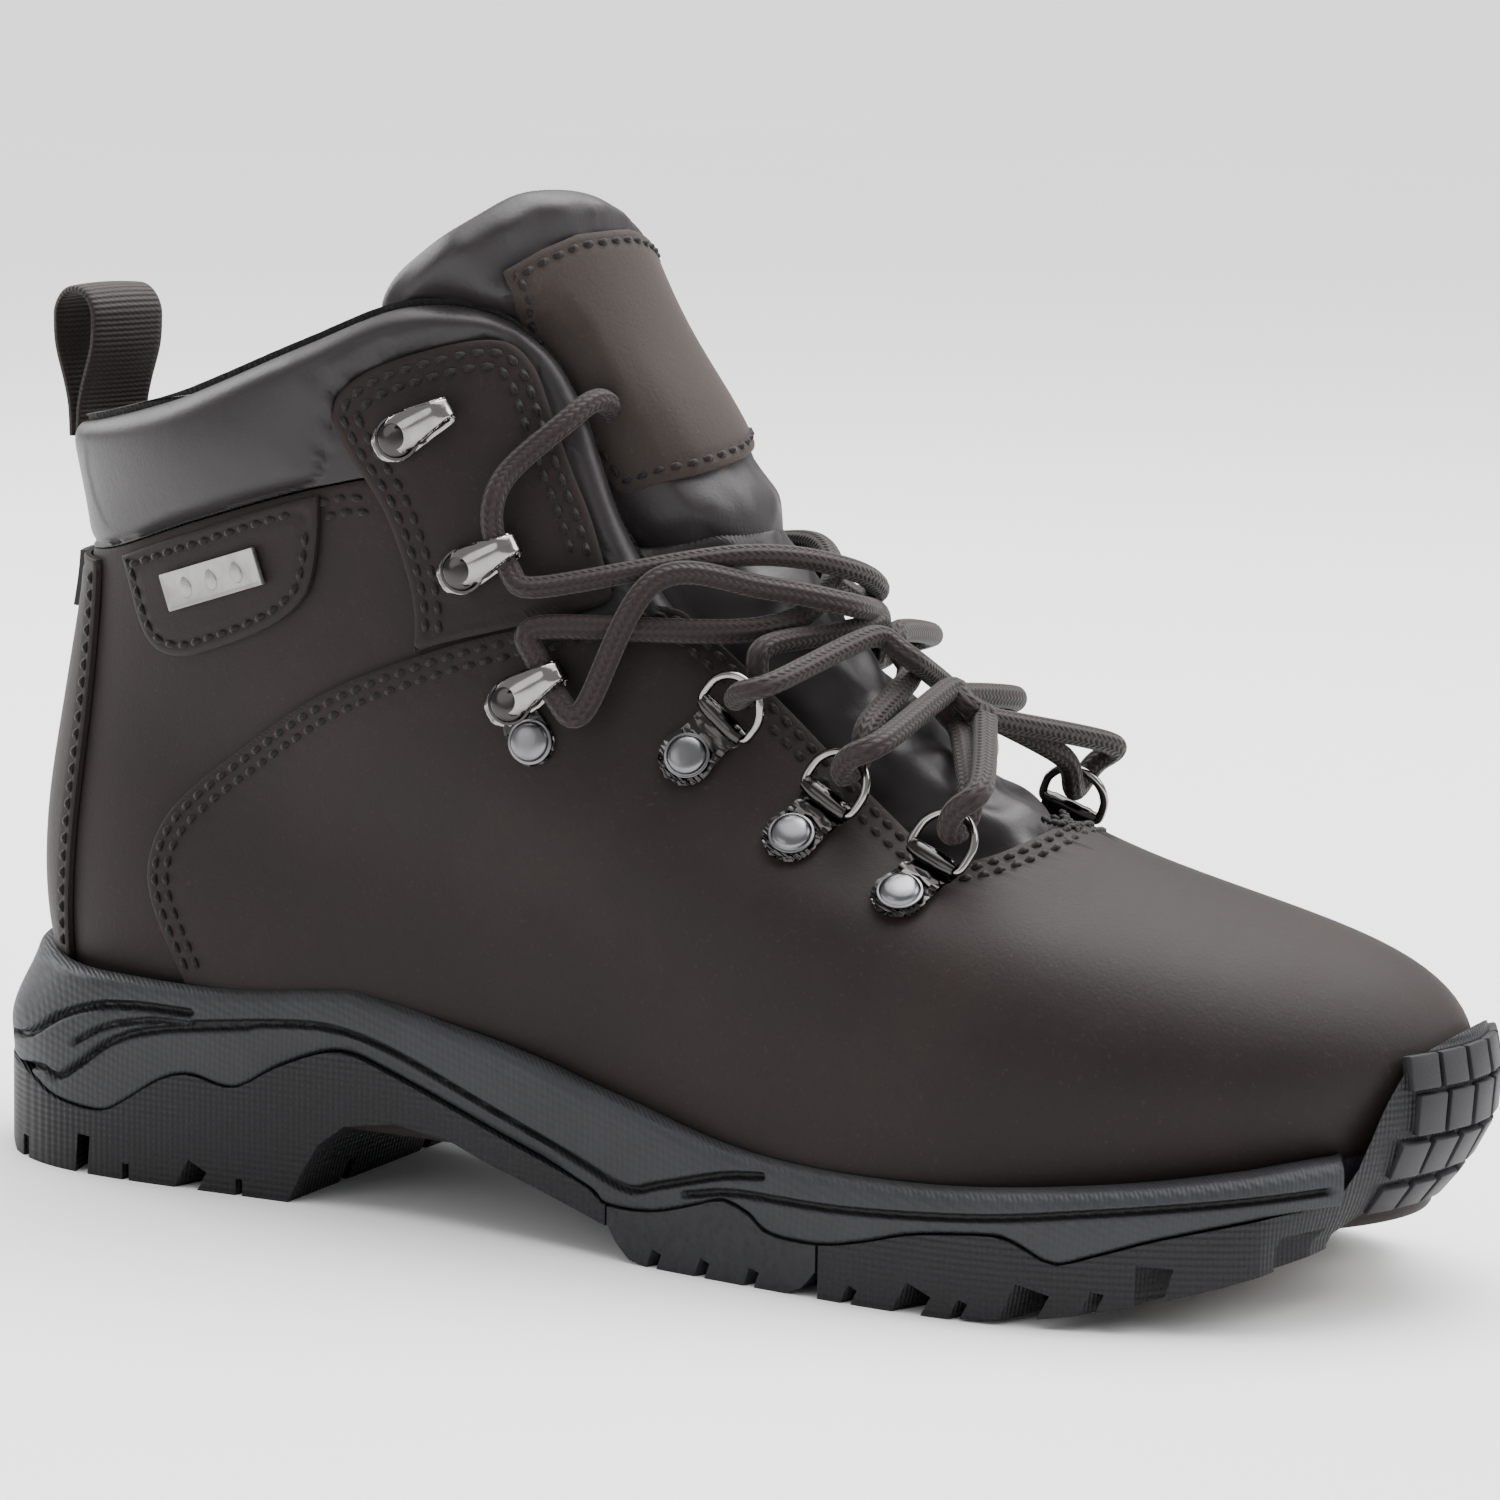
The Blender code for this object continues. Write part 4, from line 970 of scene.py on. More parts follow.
def tongueLift(angle, level):
    # how far the tongue stands out: under the flaps at its sides, free above them
    away = fromCentre(angle)
    snug, free = eased((level - 5.15) / 0.35), eased((level - 6.55) / 0.35)
    lift = 7.0 * eased((38 - snug + 26 * free - away) / (22 - 10 * snug + 6 * free)) - 6.0
    push = 2.8 * np.exp(-((level - 5.85) / 0.5)**2) * eased((36 - away) / 20)
    return lift + push


def closedPlan(points, step=1.6):
    line = np.array(points, float) * unroll
    return curveThrough(line, step, closed=True)[:-1] / unroll


def roundedPlan(low, high, half, corner):
    # a rounded oblong over the front, in angles and levels
    points = []
    for a, l, start in ((180 + half, high, 0), (180 - half, high, 90), (180 - half, low, 180),
                        (180 + half, low, 270)):
        for turn in np.radians(np.linspace(start, start + 90, 7)):
            sa, sl = (-1 if a > 180 else 1), (-1 if l == high else 1)
            points.append((a + sa * corner * 2.2 * (1 - abs(math.cos(turn))),
                           l + sl * corner / 14 * (1 - abs(math.sin(turn)))))
    closed = np.array(points + points[:1])
    return evenly(closed * unroll, 1.6)[:-1] / unroll


tongueTop = [(136, 6.75), (146, 6.93), (160, 7.0), (172, 7.08), (183, 7.2), (195, 7.27),
             (208, 7.3), (220, 7.24), (232, 7.15), (242, 7.03), (247, 6.82)]
tongueSides = [(243, 6.62), (229, 6.35), (221, 5.8), (218.5, 5.34), (200, 5.27), (180, 5.27),
               (160, 5.27), (142, 5.34), (139, 5.8), (136, 6.3)]
patchTop = [(149, 6.84), (165, 6.92), (180, 6.98), (200, 7.0), (210, 6.96), (219.5, 6.89)]
patchFoot = [(216, 5.62), (200, 5.63), (180, 5.68), (165, 5.73), (149, 5.78)]


def makeTongue():
    outline = closedPlan(tongueTop + tongueSides)

    def outside(angle, level, away):
        swell = rounded(away, 6.0)
        top = np.interp(angle, *zip(*tongueTop))
        seam = np.interp(angle, *zip(*patchTop))
        off = fromCentre(angle)
        roll = 1.9 * np.exp(-((level - top + 0.13) / 0.11)**2) * eased((66 - off) / 16)
        roll += 1.3 * np.exp(-((level - 5.47) / 0.1)**2) * eased((36 - off) / 12)
        pinch = np.exp(-((level - seam) / 0.05)**2) * eased((62 - off) / 14)
        pinch += np.exp(-((level - 5.64) / 0.05)**2) * eased((36 - off) / 12)
        crease = 0.25 * np.sin(angle * 0.5 + level * 9.0) * np.sin(level * 17.0)
        return tongueLift(angle, level) - 3.0 + 3.0 * swell + (roll - pinch + crease) * swell

    def inside(angle, level, away):
        thick = 2.6 + 5.4 * np.clip((36 - fromCentre(angle)) / 16, 0, 1)
        return tongueLift(angle, level) - 3.0 - (thick - 2.6) * rounded(away, 5.0)

    thing = softPiece("tonguePadding", outline, outside, inside, (0.2, 0.7, 1.5, 2.6, 4.0, 5.6),
                      2.2, tongueLeather, "tongue_top", "tongue_pad")

    corners = np.array(patchTop + patchFoot + patchTop[:1]) * unroll
    patch = evenly(corners, 1.4)[:-1] / unroll

    def over(angle, level, away):
        return tongueLift(angle, level) + 1.3 - 0.4 * np.exp(-away / 0.5) - 0.3 * np.exp(
            -((away - 2.2) / 0.8)**2)
    thing, sign = makePanel("tonguePatch", patch, over,
                            lambda angle, level, away: tongueLift(angle, level) - 0.3)
    coat(thing, nubuckPatch, rawEdge)
    settle(thing, "tongue_top", "light_nubuck", "tongue_patch")
    edge = inwards(np.concatenate([patch, patch[:2]]), sign * 2.2, closed=False)
    row = sewRow(edge, tongueLift(edge[:, 0], edge[:, 1]) + 1.12)
    sewTogether("patchStitching", [row], "tongue_top", "light_nubuck")


def makeBellows():
    # the folded leather between the tongue and the throat, pushed out between the laces
    outline = roundedPlan(2.95, 5.34, 42.0, 2.0)

    def base(angle, level):
        return tongueLift(angle, level) - 2.8 * eased((3.68 - level) / 0.18)

    def outside(angle, level, away):
        centre = np.clip((34 - fromCentre(angle)) / 16, 0, 1)
        hollow = sum(depth * np.exp(-(((level - at) + (angle - 180) * slant) / width)**2)
                     for at, depth, width, slant in ((3.82, -1.2, 0.07, 0.003),
                                                     (4.16, -1.5, 0.06, -0.004),
                                                     (4.48, -1.7, 0.07, 0.004),
                                                     (4.84, -1.3, 0.06, -0.005),
                                                     (5.22, -1.4, 0.08, 0.002)))
        crease = 0.5 * np.sin(angle * 0.35 + level * 6.0) * np.sin(level * 11.0 + 1.0)
        return base(angle, level) - 1.6 + 1.6 * rounded(away, 3.0) + (hollow + crease) * centre

    softPiece("tongueBellows", outline, outside,
              lambda angle, level, away: base(angle, level) - 2.9, (0.3, 1.0, 2.0, 3.2), 1.5,
              tongueLeather, "boot", "tongue_bellows")


makeCollar()
makeLining()
makeTongue()
makeBellows()
print("padding filled")


# ---- the sole
sole = {"step": 0.8, "rows": 54, "lip": 2.3, "floorDrop": 3.2, "heelLean": 5.5, "lugBevel": 0.7,
        "lugColumns": (-16.4, -8.2, 0.0, 8.2, 16.4),
        "lugRows": ((47.3, 6.6), (39.4, 7.9), (30.8, 8.0), (22.6, 7.0))}
outerEdge = [(-2, 0), (2, -17), (14, -31), (36, -38), (85, -38), (110, -39), (140, -43),
             (170, -48), (200, -52), (225, -54), (245, -53), (267, -47), (288, -36), (303, -20.5),
             (311.3, -5)]
innerEdge = [(314, 11), (309, 26), (295, 40), (272, 51), (247, 55), (220, 54), (190, 48),
             (160, 40), (130, 36), (105, 36), (80, 37), (36, 38), (14, 31), (2, 17)]
floorLine = [(-10, 34), (80, 34), (100, 31), (130, 25), (160, 20.5), (200, 19), (240, 19.5),
             (280, 22), (305, 27), (320, 30)]
rimLine = [(-10, 44.5), (4, 43.8), (14, 42.4), (26, 41.8), (38, 41.6), (65, 41.3), (91, 44),
           (99, 43.3), (112, 41), (134, 37), (156, 31.5), (188, 25), (224, 24), (261, 26.5),
           (285, 29.5), (300, 32), (320, 33)]
boundary = [(-10, 20), (10, 19), (16, 17.5), (24, 14.4), (36, 13.4), (42, 16), (51, 21.6),
            (58, 23.4), (68, 21.8), (78, 27), (88, 31), (95, 31.6), (105, 28.6), (128, 21),
            (152, 13.4), (157, 10.5), (168, 10.8), (179, 14), (184, 15.6), (190, 13.8),
            (195, 10.6), (205.7, 10.2), (215, 12), (226, 15), (241, 16.6), (246, 15.6),
            (253, 12.2), (260, 14), (271, 17.6), (285, 21), (295, 23), (320, 25)]
midsoleGrooves = [
    (1.9, 0.8, [(59, 34), (82, 36.5), (93, 36.3), (105, 33.6), (128, 25.6), (150, 18.4),
                 (162, 14.6), (170, 16.5), (184, 20.4), (193, 21.6)]),
    (1.6, 0.75, [(176, 15.6), (188, 17.6), (210, 17.8), (240, 20), (262, 22.6), (288, 25.6),
                (297, 26.6)]),
    (2.1, 0.85, [(6, 24), (16, 26.5), (26, 32), (36, 35.3), (46, 36.3), (58, 36.2)]),
    (1.8, 0.8, [(8, 18), (20, 20), (25, 19), (31, 22.5), (40, 28.6), (51, 32), (72, 35)]),
    (1.4, 0.7, [(30, 27), (38, 31.2), (48, 33.6), (57, 34)])]


def footCurve(step, grow):
    line = curveThrough(outerEdge + innerEdge, step, closed=True)[:-1]
    along = np.roll(line, -1, axis=0) - np.roll(line, 1, axis=0)
    along /= np.linalg.norm(along, axis=1, keepdims=True)
    out = np.stack([along[:, 1], -along[:, 0]], -1)
    return line + out * grow, out


def heightAt(line, x):
    smooth = curveThrough(line, 0.8)
    return np.interp(x, smooth[:, 0], smooth[:, 1])


def midsoleRelief(x, z, high, low):
    # how far the wall stands out, and how deep its moulded lines are there, which also sets their
    # painted shade
    flat = np.stack([x, z], -1)
    carved = np.zeros(len(x))
    for depth, width, line in midsoleGrooves:
        gap = nearestAway(flat, curveThrough(line, 0.5))
        carved = np.maximum(carved, depth * np.exp(-(gap / width)**4))
    relief = -sole["lip"] * (1 - rounded(high - z, sole["lip"]))
    relief -= 0.8 * np.clip(1 - (z - low) / 0.9, 0, 1)**2
    relief += 0.7 * np.sin(np.pi * np.clip((z - low) / (high - low), 0, 1))
    arch = heightAt(midsoleGrooves[0][2], x)
    relief -= 0.9 * eased((arch - z) / 0.8) * eased((x - 70) / 12) * eased((152 - x) / 12)
    relief -= sole["heelLean"] * eased((z - 26) / 18) * eased((36 - x) / 30)
    return relief - carved, carved


def makeMidsole():
    curve, out = footCurve(sole["step"], 0.0)
    x = curve[:, 0]
    high = heightAt(rimLine, x)
    low = heightAt(boundary, x) + 0.15
    # where the upper meets the rim, all the way round
    angles = np.arange(0, 360, 1.0)
    levels = [np.full(len(angles), -0.8), np.full(len(angles), 2.5)]
    for _ in range(30):
        half = (levels[0] + levels[1]) / 2
        spots = bareLast(angles, half)
        short = spots[:, 2] < heightAt(rimLine, spots[:, 0]) - 0.2
        levels = [np.where(short, half, levels[0]), np.where(short, levels[1], half)]
    meet = onLast(angles, levels[0], 1.7)
    gaps = np.linalg.norm(curve[:, None] - meet[None, :, :2], axis=2)
    inner = meet[gaps.argmin(axis=1)]
    kernel = np.ones(7) / 7
    inner = np.stack([np.convolve(np.concatenate([v[-3:], v, v[:3]]), kernel, "valid")
                      for v in inner.T], -1)
    toe = np.clip((x - 299.5) / 1.6, 0, 1)[:, None]
    wallXy = curve * (1 - toe) + (inner[:, :2] + out * 0.5) * toe
    rings, grooveShades = [], []
    for t in np.linspace(0, 1, sole["rows"]):
        z = low + (high - low) * t
        relief, carved = midsoleRelief(x, z, high, low)
        push = relief * (1 - toe[:, 0])
        # how deep the lines are cut, kept to paint shade into them
        grooveShades.append(carved / 1.5)
        rings.append(np.column_stack([wallXy + out * push[:, None], z]))
    last = rings[-1]
    lip = np.column_stack([inner[:, :2], high - 0.5])
    rings += [last * 0.55 + lip * 0.45 + (0, 0, 0.35), lip,
              lip - np.column_stack([out * 1.8, np.full(len(x), 2.5)])]
    floorZ = np.interp(x, *zip(*floorLine)) - sole["floorDrop"]
    rings.append(np.column_stack([inner[:, :2] - out * 3.0, np.maximum(floorZ, low + 0.5)]))
    count = len(x)
    thing = newMesh("midsoleRand", np.concatenate(rings), loftFaces(len(rings), count))
    grooveShades += [np.zeros(count)] * (len(rings) - len(grooveShades))
    # painted shade for the moulded lines, read by the midsole finish
    mark = thing.data.attributes.new("grooveShade", "FLOAT", "POINT")
    mark.data.foreach_set("value", np.clip(np.concatenate(grooveShades), 0, 1))
    faceOut(thing)
    smoothShade(thing, 55)
    coat(thing, midsoleGrey)
    settle(thing, "boot", "grey_midsole", "midsole")


def footPrism(name, grow, rise=3.0):
    curve, _ = footCurve(2.0, grow)
    count = len(curve)
    levels = np.arange(-6, 72, rise)
    points = np.concatenate([np.column_stack([curve, np.full(count, z)]) for z in levels])
    return faceOut(newMesh(name, points, loftFaces(len(levels), count)))


def sideSlab(name, low, high, near=-95.0, far=95.0):
    outline = [tuple(p) for p in low] + [tuple(p) for p in high[::-1]]
    count = len(outline)
    points = [(x, near, z) for x, z in outline] + [(x, far, z) for x, z in outline]
    faces = [tuple(range(count)), tuple(range(count, 2 * count))[::-1]]
    faces += [(i, (i + 1) % count, (i + 1) % count + count, i + count) for i in range(count)]
    return faceOut(newMesh(name, points, faces))


def between(line, start, end):
    x = np.append(np.arange(start, end, 3.0), end)
    return np.stack([x, heightAt(line, x)], -1)


def slotCutter(x, y, wide, long, turn, base, tall, lean=0.0):
    # a channel for the tread: wide along the boot, long across it
    box = bareShape("cube", size=1.0)
    box.data.transform(Matrix.Diagonal((wide * mm, long * mm, (tall + 8.0) * mm, 1.0)))
    box.data.transform(Matrix.Translation((0, 0, (tall - 8.0) / 2 * mm)))
    box.data.transform(Matrix.Rotation(math.radians(lean), 4, "Y"))
    box.data.transform(Matrix.Rotation(math.radians(turn), 4, "Z"))
    box.data.transform(Matrix.Translation(Vector(toWorld([(x, y, base)])[0])))
    return box


def toeLift(x):
    return 18.0 * (np.maximum(0.0, np.asarray(x, float) - 225.0) / 80.0)**2


def finishBlock(thing, finish, slot, node):
    soften(thing, sole["lugBevel"] * mm, 40)
    smoothShade(thing, 35)
    coat(thing, finish)
    settle(thing, "boot", slot, node)


def makeHeelTread():
    under = [(-10, 9), (4, 2.5), (9, 0), (81, 0), (84, 6), (88, 12.5), (94, 17), (106, 19),
             (119, 17.5), (128, 14.5), (143, 10.5), (157, 6.5)]
    block = footPrism("heelTread", 0.3)
    carve(block, sideSlab("space", under, between(boundary, -9, 157)), "INTERSECT")
    cutters = []
    for side in (-1, 1):
        for x, wide, turn, tall, lean in ((14, 2.6, 20, 4.5, 0), (30, 3.0, -14, 8.0, 4),
                                          (44, 1.6, 8, 3.4, 0), (59.5, 4.6, 16, 5.6, 28),
                                          (71, 1.6, 10, 3.4, 0)):
            cutters.append(slotCutter(x, side * 31, wide, 24, side * turn, 0, tall, lean))
        cutters.append(slotCutter(48, side * 13.5, 96, 3.4, side * 5, 0, 5.0))
    cutters += [slotCutter(x, 0, 4.0, 20, 0, 0, 4.4) for x in (22, 38, 54, 69)]
    carve(block, joinAll(cutters, "slots"))
    finishBlock(block, treadRubber, "black_rubber", "outsole_heel")


def makePods():
    under = [(157.6, 7), (160, 3.5), (163, 0.8), (167, 0), (199, 0), (202.5, 1.6), (205.4, 5)]
    for word, side in (("outer", -1), ("inner", 1)):
        near, far = (-95, -0.3) if side < 0 else (0.3, 95)
        block = footPrism("podTread." + word, 0.5)
        carve(block, sideSlab("space", under, between(boundary, 157.6, 205.4), near, far),
              "INTERSECT")
        slots = [slotCutter(x, side * y, 2.2, 22, side * 24, 0, 3.6, 20)
                 for x, y in ((172, 40), (183, 42), (194, 44), (176, 14), (190, 14))]
        carve(block, joinAll(slots, "slots"))
        finishBlock(block, podRubber, "pebbled_rubber", "outsole_pod_" + word)


def lastSolid(grow):
    # the foot shape as a closed solid, to hollow the toe bumper
    angles, levels = np.arange(0, 360, 4.0), np.arange(-1.0, 3.01, 0.2)
    grid = np.array([(a, l) for l in levels for a in angles])
    points = onLast(grid[:, 0], grid[:, 1], grow)
    return faceOut(newMesh("footShape", points, loftFaces(len(levels), len(angles))))


def toeInset(x, z):
    # the bumper rolls under towards the ground and leans back at its top
    tuck = 9.4 * np.clip((40 - z) / 19, 0, 1.3)**1.7
    lean = 2.5 * np.clip((z - 44) / 9, 0, 1.4)**2
    return (tuck + lean) * np.clip((x - 288) / 22, 0, 1)


def makeForeTread():
    x = np.arange(206, 324, 4.0)
    under = np.stack([x, toeLift(x)], -1)
    side = between(boundary, 206, 296)
    cap = [(298.5, 25.5), (301, 30), (303.2, 36), (305.2, 42.5), (307, 47.5), (309.3, 51),
           (312.5, 53.3), (322, 54)]
    block = footPrism("foreTread", 0.4, rise=2.0)
    spots = np.empty(len(block.data.vertices) * 3)
    block.data.vertices.foreach_get("co", spots)
    spots = spots.reshape(-1, 3) / mm + middle
    spots[:, 0] -= toeInset(spots[:, 0], spots[:, 2])
    block.data.vertices.foreach_set("co", toWorld(spots).ravel())
    carve(block, sideSlab("space", under, np.concatenate([side, cap])), "INTERSECT")
    carve(block, lastSolid(2.25))
    cutters = []
    for hand in (-1, 1):
        for at, wide, turn, tall, lean in ((216, 2.0, 22, 3.6, 24), (230, 5.0, 26, 5.4, 26),
                                           (240, 1.8, 26, 3.4, 24), (252, 5.2, 28, 5.6, 20),
                                           (264, 1.8, 30, 3.4, 16), (275.5, 5.0, 34, 5.8, 8),
                                           (291, 4.6, 44, 5.8, 0)):
            reach = 44 - max(0.0, at - 262) * 0.55
            cutters.append(slotCutter(at, hand * reach, wide, 26, hand * turn, toeLift(at),
                                      tall, lean))
        cutters.append(slotCutter(245, hand * 17, 86, 3.8, hand * -7, 2.0, 5.0))
    for at in (214, 230, 246, 262, 278, 292):
        for hand in (-1, 1):
            cutters.append(slotCutter(at, hand * 7, 4.0, 18, hand * 28, toeLift(at), 4.6))
    carve(block, joinAll(cutters, "slots"))
    finishBlock(block, treadRubber, "black_rubber", "outsole_forefoot")


def makeToeLugs():
    # rows of broad lugs, nearly touching, on the bumper's front
    curve, out = footCurve(1.0, 0.2)
    front = curve[:, 0] > 297
    order = np.argsort(curve[front][:, 1])
    line, ways = curve[front][order], out[front][order]
    far = chordLengths(line)
    lugs = []
    for row, (z, tall) in enumerate(sole["lugRows"]):
        for column in sole["lugColumns"]:
            at = far[-1] / 2 + column + (0.9 if row % 2 else -0.9)
            spot = np.array([np.interp(at, far, line[:, k]) for k in (0, 1)])
            way = np.array([np.interp(at, far, ways[:, k]) for k in (0, 1)])
            way /= np.linalg.norm(way)
            inset = toeInset(spot[0], z)
            slope = math.atan((toeInset(spot[0], z - 1) - toeInset(spot[0], z + 1)) / 2)
            lug = bareShape("cube", size=1.0)
            lug.data.transform(Matrix.Diagonal((2.8 * mm, 7.3 * mm, tall * mm, 1.0)))
            lug.data.transform(Matrix.Rotation(slope, 4, "Y"))
            lug.data.transform(Matrix.Rotation(math.atan2(way[1], way[0]), 4, "Z"))
            place = toWorld([(spot[0] - inset, spot[1], z)])[0]
            lug.data.transform(Matrix.Translation(Vector(place)))
            modify(lug, "BEVEL", width=0.5 * mm, segments=2)
            lugs.append(lug)
    thing = joinAll(lugs, "toeLugs")
    smoothShade(thing, 35)
    coat(thing, toeRubber)
    settle(thing, "boot", "black_rubber")


makeMidsole()
makeHeelTread()
makePods()
makeForeTread()
makeToeLugs()
print("sole moulded")


# ---- metal fittings
class Seat:
    # a place on the boot: forward, across and out, in the shoemaker's millimetres
    def __init__(self, origin, forward, across, out):
        self.origin, self.forward, self.across, self.out = origin, forward, across, out

    def point(self, forward, across, out):
        return self.origin + self.forward * forward + self.across * across + self.out * out

    def pitched(self, forward, out, degrees):
        c, s = math.cos(math.radians(degrees)), math.sin(math.radians(degrees))
        return Seat(self.point(forward, 0, out), self.forward * c + self.out * s, self.across,
                    self.out * c - self.forward * s)

    def put(self, thing):
        # from the fitting's own millimetres to its place on the boot
        frameOf = Matrix([list(row) for row in zip(self.forward, self.across, self.out)]).to_4x4()
        frameOf.translation = Vector(toWorld([self.origin])[0])
        thing.data.transform(frameOf @ Matrix.Scale(mm, 4))
        thing.data.update()
        return thing


def seatOn(spot, towards, side, depth=2.7):
    here, there = lastPlace(*spot, side)[0], lastPlace(*towards, side)[0]
    origin, out = onLast(*here, depth)[0], lastNormal(*here)[0]
    forward = onLast(*there, depth)[0] - origin
    forward -= out * (forward @ out)
    forward /= np.linalg.norm(forward)
    return Seat(origin, forward, np.cross(out, forward), out)


fittings = {"plate": 0.9, "bend": 3.35, "hookFold": 10.0, "barAt": 9.6, "barHeight": 2.2,
            "ringWire": 0.88, "ringReach": 9.6, "ringHalf": 6.3, "ringTilt": 32.0,
            "rivet": 4.45, "secondRivet": 8.6,
            "clips": [((166, 96), (174, 106)), ((189, 82), (196, 92)), ((213, 73), (220, 82))],
            "hooks": [((106, 155), (116, 161)), ((120, 130), (131, 136)),
                      ((131, 105), (142, 112))]}


def pickFaces(thing, test):
    # leaves edit mode with only the faces that pass the test selected
    alone(thing)
    bpy.ops.object.mode_set(mode="EDIT")
    bpy.ops.mesh.select_mode(type="FACE")
    work = bmesh.from_edit_mesh(thing.data)
    for face in work.faces:
        face.select_set(bool(test(face)))
    work.select_flush(False)
    bmesh.update_edit_mesh(thing.data)


def makeRivet():
    # flange, neck and dome, from a cylinder with its top inset and raised in steps
    size = fittings["rivet"]
    thing = bareShape("cylinder", vertices=40, radius=size, depth=0.55,
                      location=(0, 0, fittings["plate"] + 0.28))
    thing.data.transform(Matrix.Translation(thing.location))
    thing.location = (0, 0, 0)
    pickFaces(thing, lambda face: face.normal.z > 0.9)
    for inset, rise in ((0.55, 0.0), (0.12, 0.55), (0.35, 0.42), (0.65, 0.30), (0.9, 0.16),
                        (0.8, 0.05)):
        bpy.ops.mesh.inset(thickness=inset)
        bpy.ops.transform.translate(value=(0, 0, rise))
    bpy.ops.object.mode_set(mode="OBJECT")
    soften(thing, 0.12, 38)
    smoothShade(thing, 50)
    return thing


def makeRibbon(name, stations, thick):
    # sheet metal bent along a path of (forward, out, half width), grown edge by edge
    (x0, z0, w0), (x1, z1, w1) = stations[:2]
    thing = bareShape("plane", size=1.0)
    thing.name = thing.data.name = name
    for corner in thing.data.vertices:
        first = corner.co.x < 0
        corner.co = (x0 if first else x1, (w0 if first else w1) * (1 if corner.co.y > 0 else -1),
                     z0 if first else z1)
    alone(thing)
    bpy.ops.object.mode_set(mode="EDIT")
    bpy.ops.mesh.select_mode(type="EDGE")
    work = bmesh.from_edit_mesh(thing.data)
    for edge in work.edges:
        edge.select_set(all(abs(v.co.x - x1) < 1e-5 for v in edge.verts))
    bmesh.update_edit_mesh(thing.data)
    for before, after in zip(stations[1:], stations[2:]):
        bpy.ops.mesh.extrude_region_move(TRANSFORM_OT_translate={
            "value": (after[0] - before[0], 0, after[1] - before[1])})
        bpy.ops.transform.resize(value=(1, after[2] / before[2], 1),
                                 center_override=(after[0], 0, after[1]))
    bpy.ops.mesh.select_all(action="SELECT")
    bpy.ops.mesh.subdivide(number_cuts=1)
    bpy.ops.object.mode_set(mode="OBJECT")
    modify(thing, "SOLIDIFY", thickness=thick, offset=0.0)
    faceOut(thing)
    return thing


def bendLine(centre, radius, start, end, steps):
    return [(centre[0] + radius * math.cos(math.radians(start + (end - start) * i / steps)),
             centre[1] + radius * math.sin(math.radians(start + (end - start) * i / steps)))
            for i in range(steps + 1)]


def roundedTail(radius, reach, height):
    # the half round end of a plate, behind its rivet
    return [(-reach + radius * (1 - math.cos(t)), height, max(0.5, radius * math.sin(t)))
            for t in np.radians((8, 18, 28, 38, 48, 58, 68, 79, 90))]


def hollowTop(thing, reach):
    # a low raised rim round the flat part of a plate
    pickFaces(thing, lambda face: face.normal.z > 0.95 and face.calc_center_median().x < reach)
    bpy.ops.mesh.inset(thickness=0.45)
    bpy.ops.transform.translate(value=(0, 0, -0.22))
    bpy.ops.object.mode_set(mode="OBJECT")


def makeClip():
    base = fittings["plate"] / 2
    stations = roundedTail(5.5, 5.7, base)
    stations += [(1.5, base, 5.2), (4.0, base, 4.75), (6.2, base, 4.85), (8.1, base, 5.15)]
    curl = bendLine((fittings["barAt"], fittings["barHeight"]), 1.6, -82, 175, 12)
    stations += [(x, z, 5.2) for x, z in curl]
    thing = makeRibbon("ringClip", stations, fittings["plate"] * 0.8)
    hollowTop(thing, 6.5)
    smoothShade(thing, 35)
    return thing


def makeHook():
    # a tapering sheet folded back on itself, its mouth cut open towards the rivet
    base, bend = fittings["plate"] / 2, fittings["bend"]
    stations = roundedTail(5.2, 5.5, base)
    stations += [(2.0, base, 4.7), (5.0, base, 4.2), (8.0, base, 3.5)]
    fold = bendLine((fittings["hookFold"], base + bend), bend, -78, 90, 12)
    stations += [(x, z, 3.1 - 0.75 * math.sin(math.pi * i / 12)) for i, (x, z) in enumerate(fold)]
    top = base + 2 * bend
    stations += [(8.4, top + 0.1, 3.5), (6.6, top + 0.25, 4.0), (4.8, top + 0.35, 4.35),
                 (3.2, top + 0.3, 4.45), (1.6, top + 0.1, 4.2), (0.6, top, 3.7)]
    thing = makeRibbon("laceHook", stations, fittings["plate"] * 0.8)
    modify(thing, "SUBSURF", levels=1, render_levels=1)
    for spot in thing.data.vertices:
        x, y, z = spot.co
        shell = min(max((z - base - bend * 0.8) / bend, 0.0), 1.0)
        if x > -1 and shell > 0:
            spot.co.z -= 1.9 * shell * (abs(y) / 4.2)**2
    mouth = bareShape("cylinder", vertices=32, radius=2.6, depth=6.0, location=(0.9, 0, top))
    carve(thing, mouth)
    soften(thing, 0.14, 55)
    smoothShade(thing, 50)
    return thing


def makeFoot():
    # the locking hook's second plate, turned sideways under the first
    base = fittings["plate"] / 2 - 0.12
    stations = [(-3.0, base, 3.0), (0.0, base, 3.3), (2.8, base, 3.0), (4.6, base, 3.4)]
    far = fittings["secondRivet"]
    stations += [(far + 4.6 * math.cos(t), base, max(0.5, 4.6 * math.sin(t)))
                 for t in np.radians((110, 100, 90, 80, 70, 60, 50, 40, 30, 20, 8))]
    thing = makeRibbon("hookFoot", stations, fittings["plate"] - 0.2)
    smoothShade(thing, 35)
    return thing


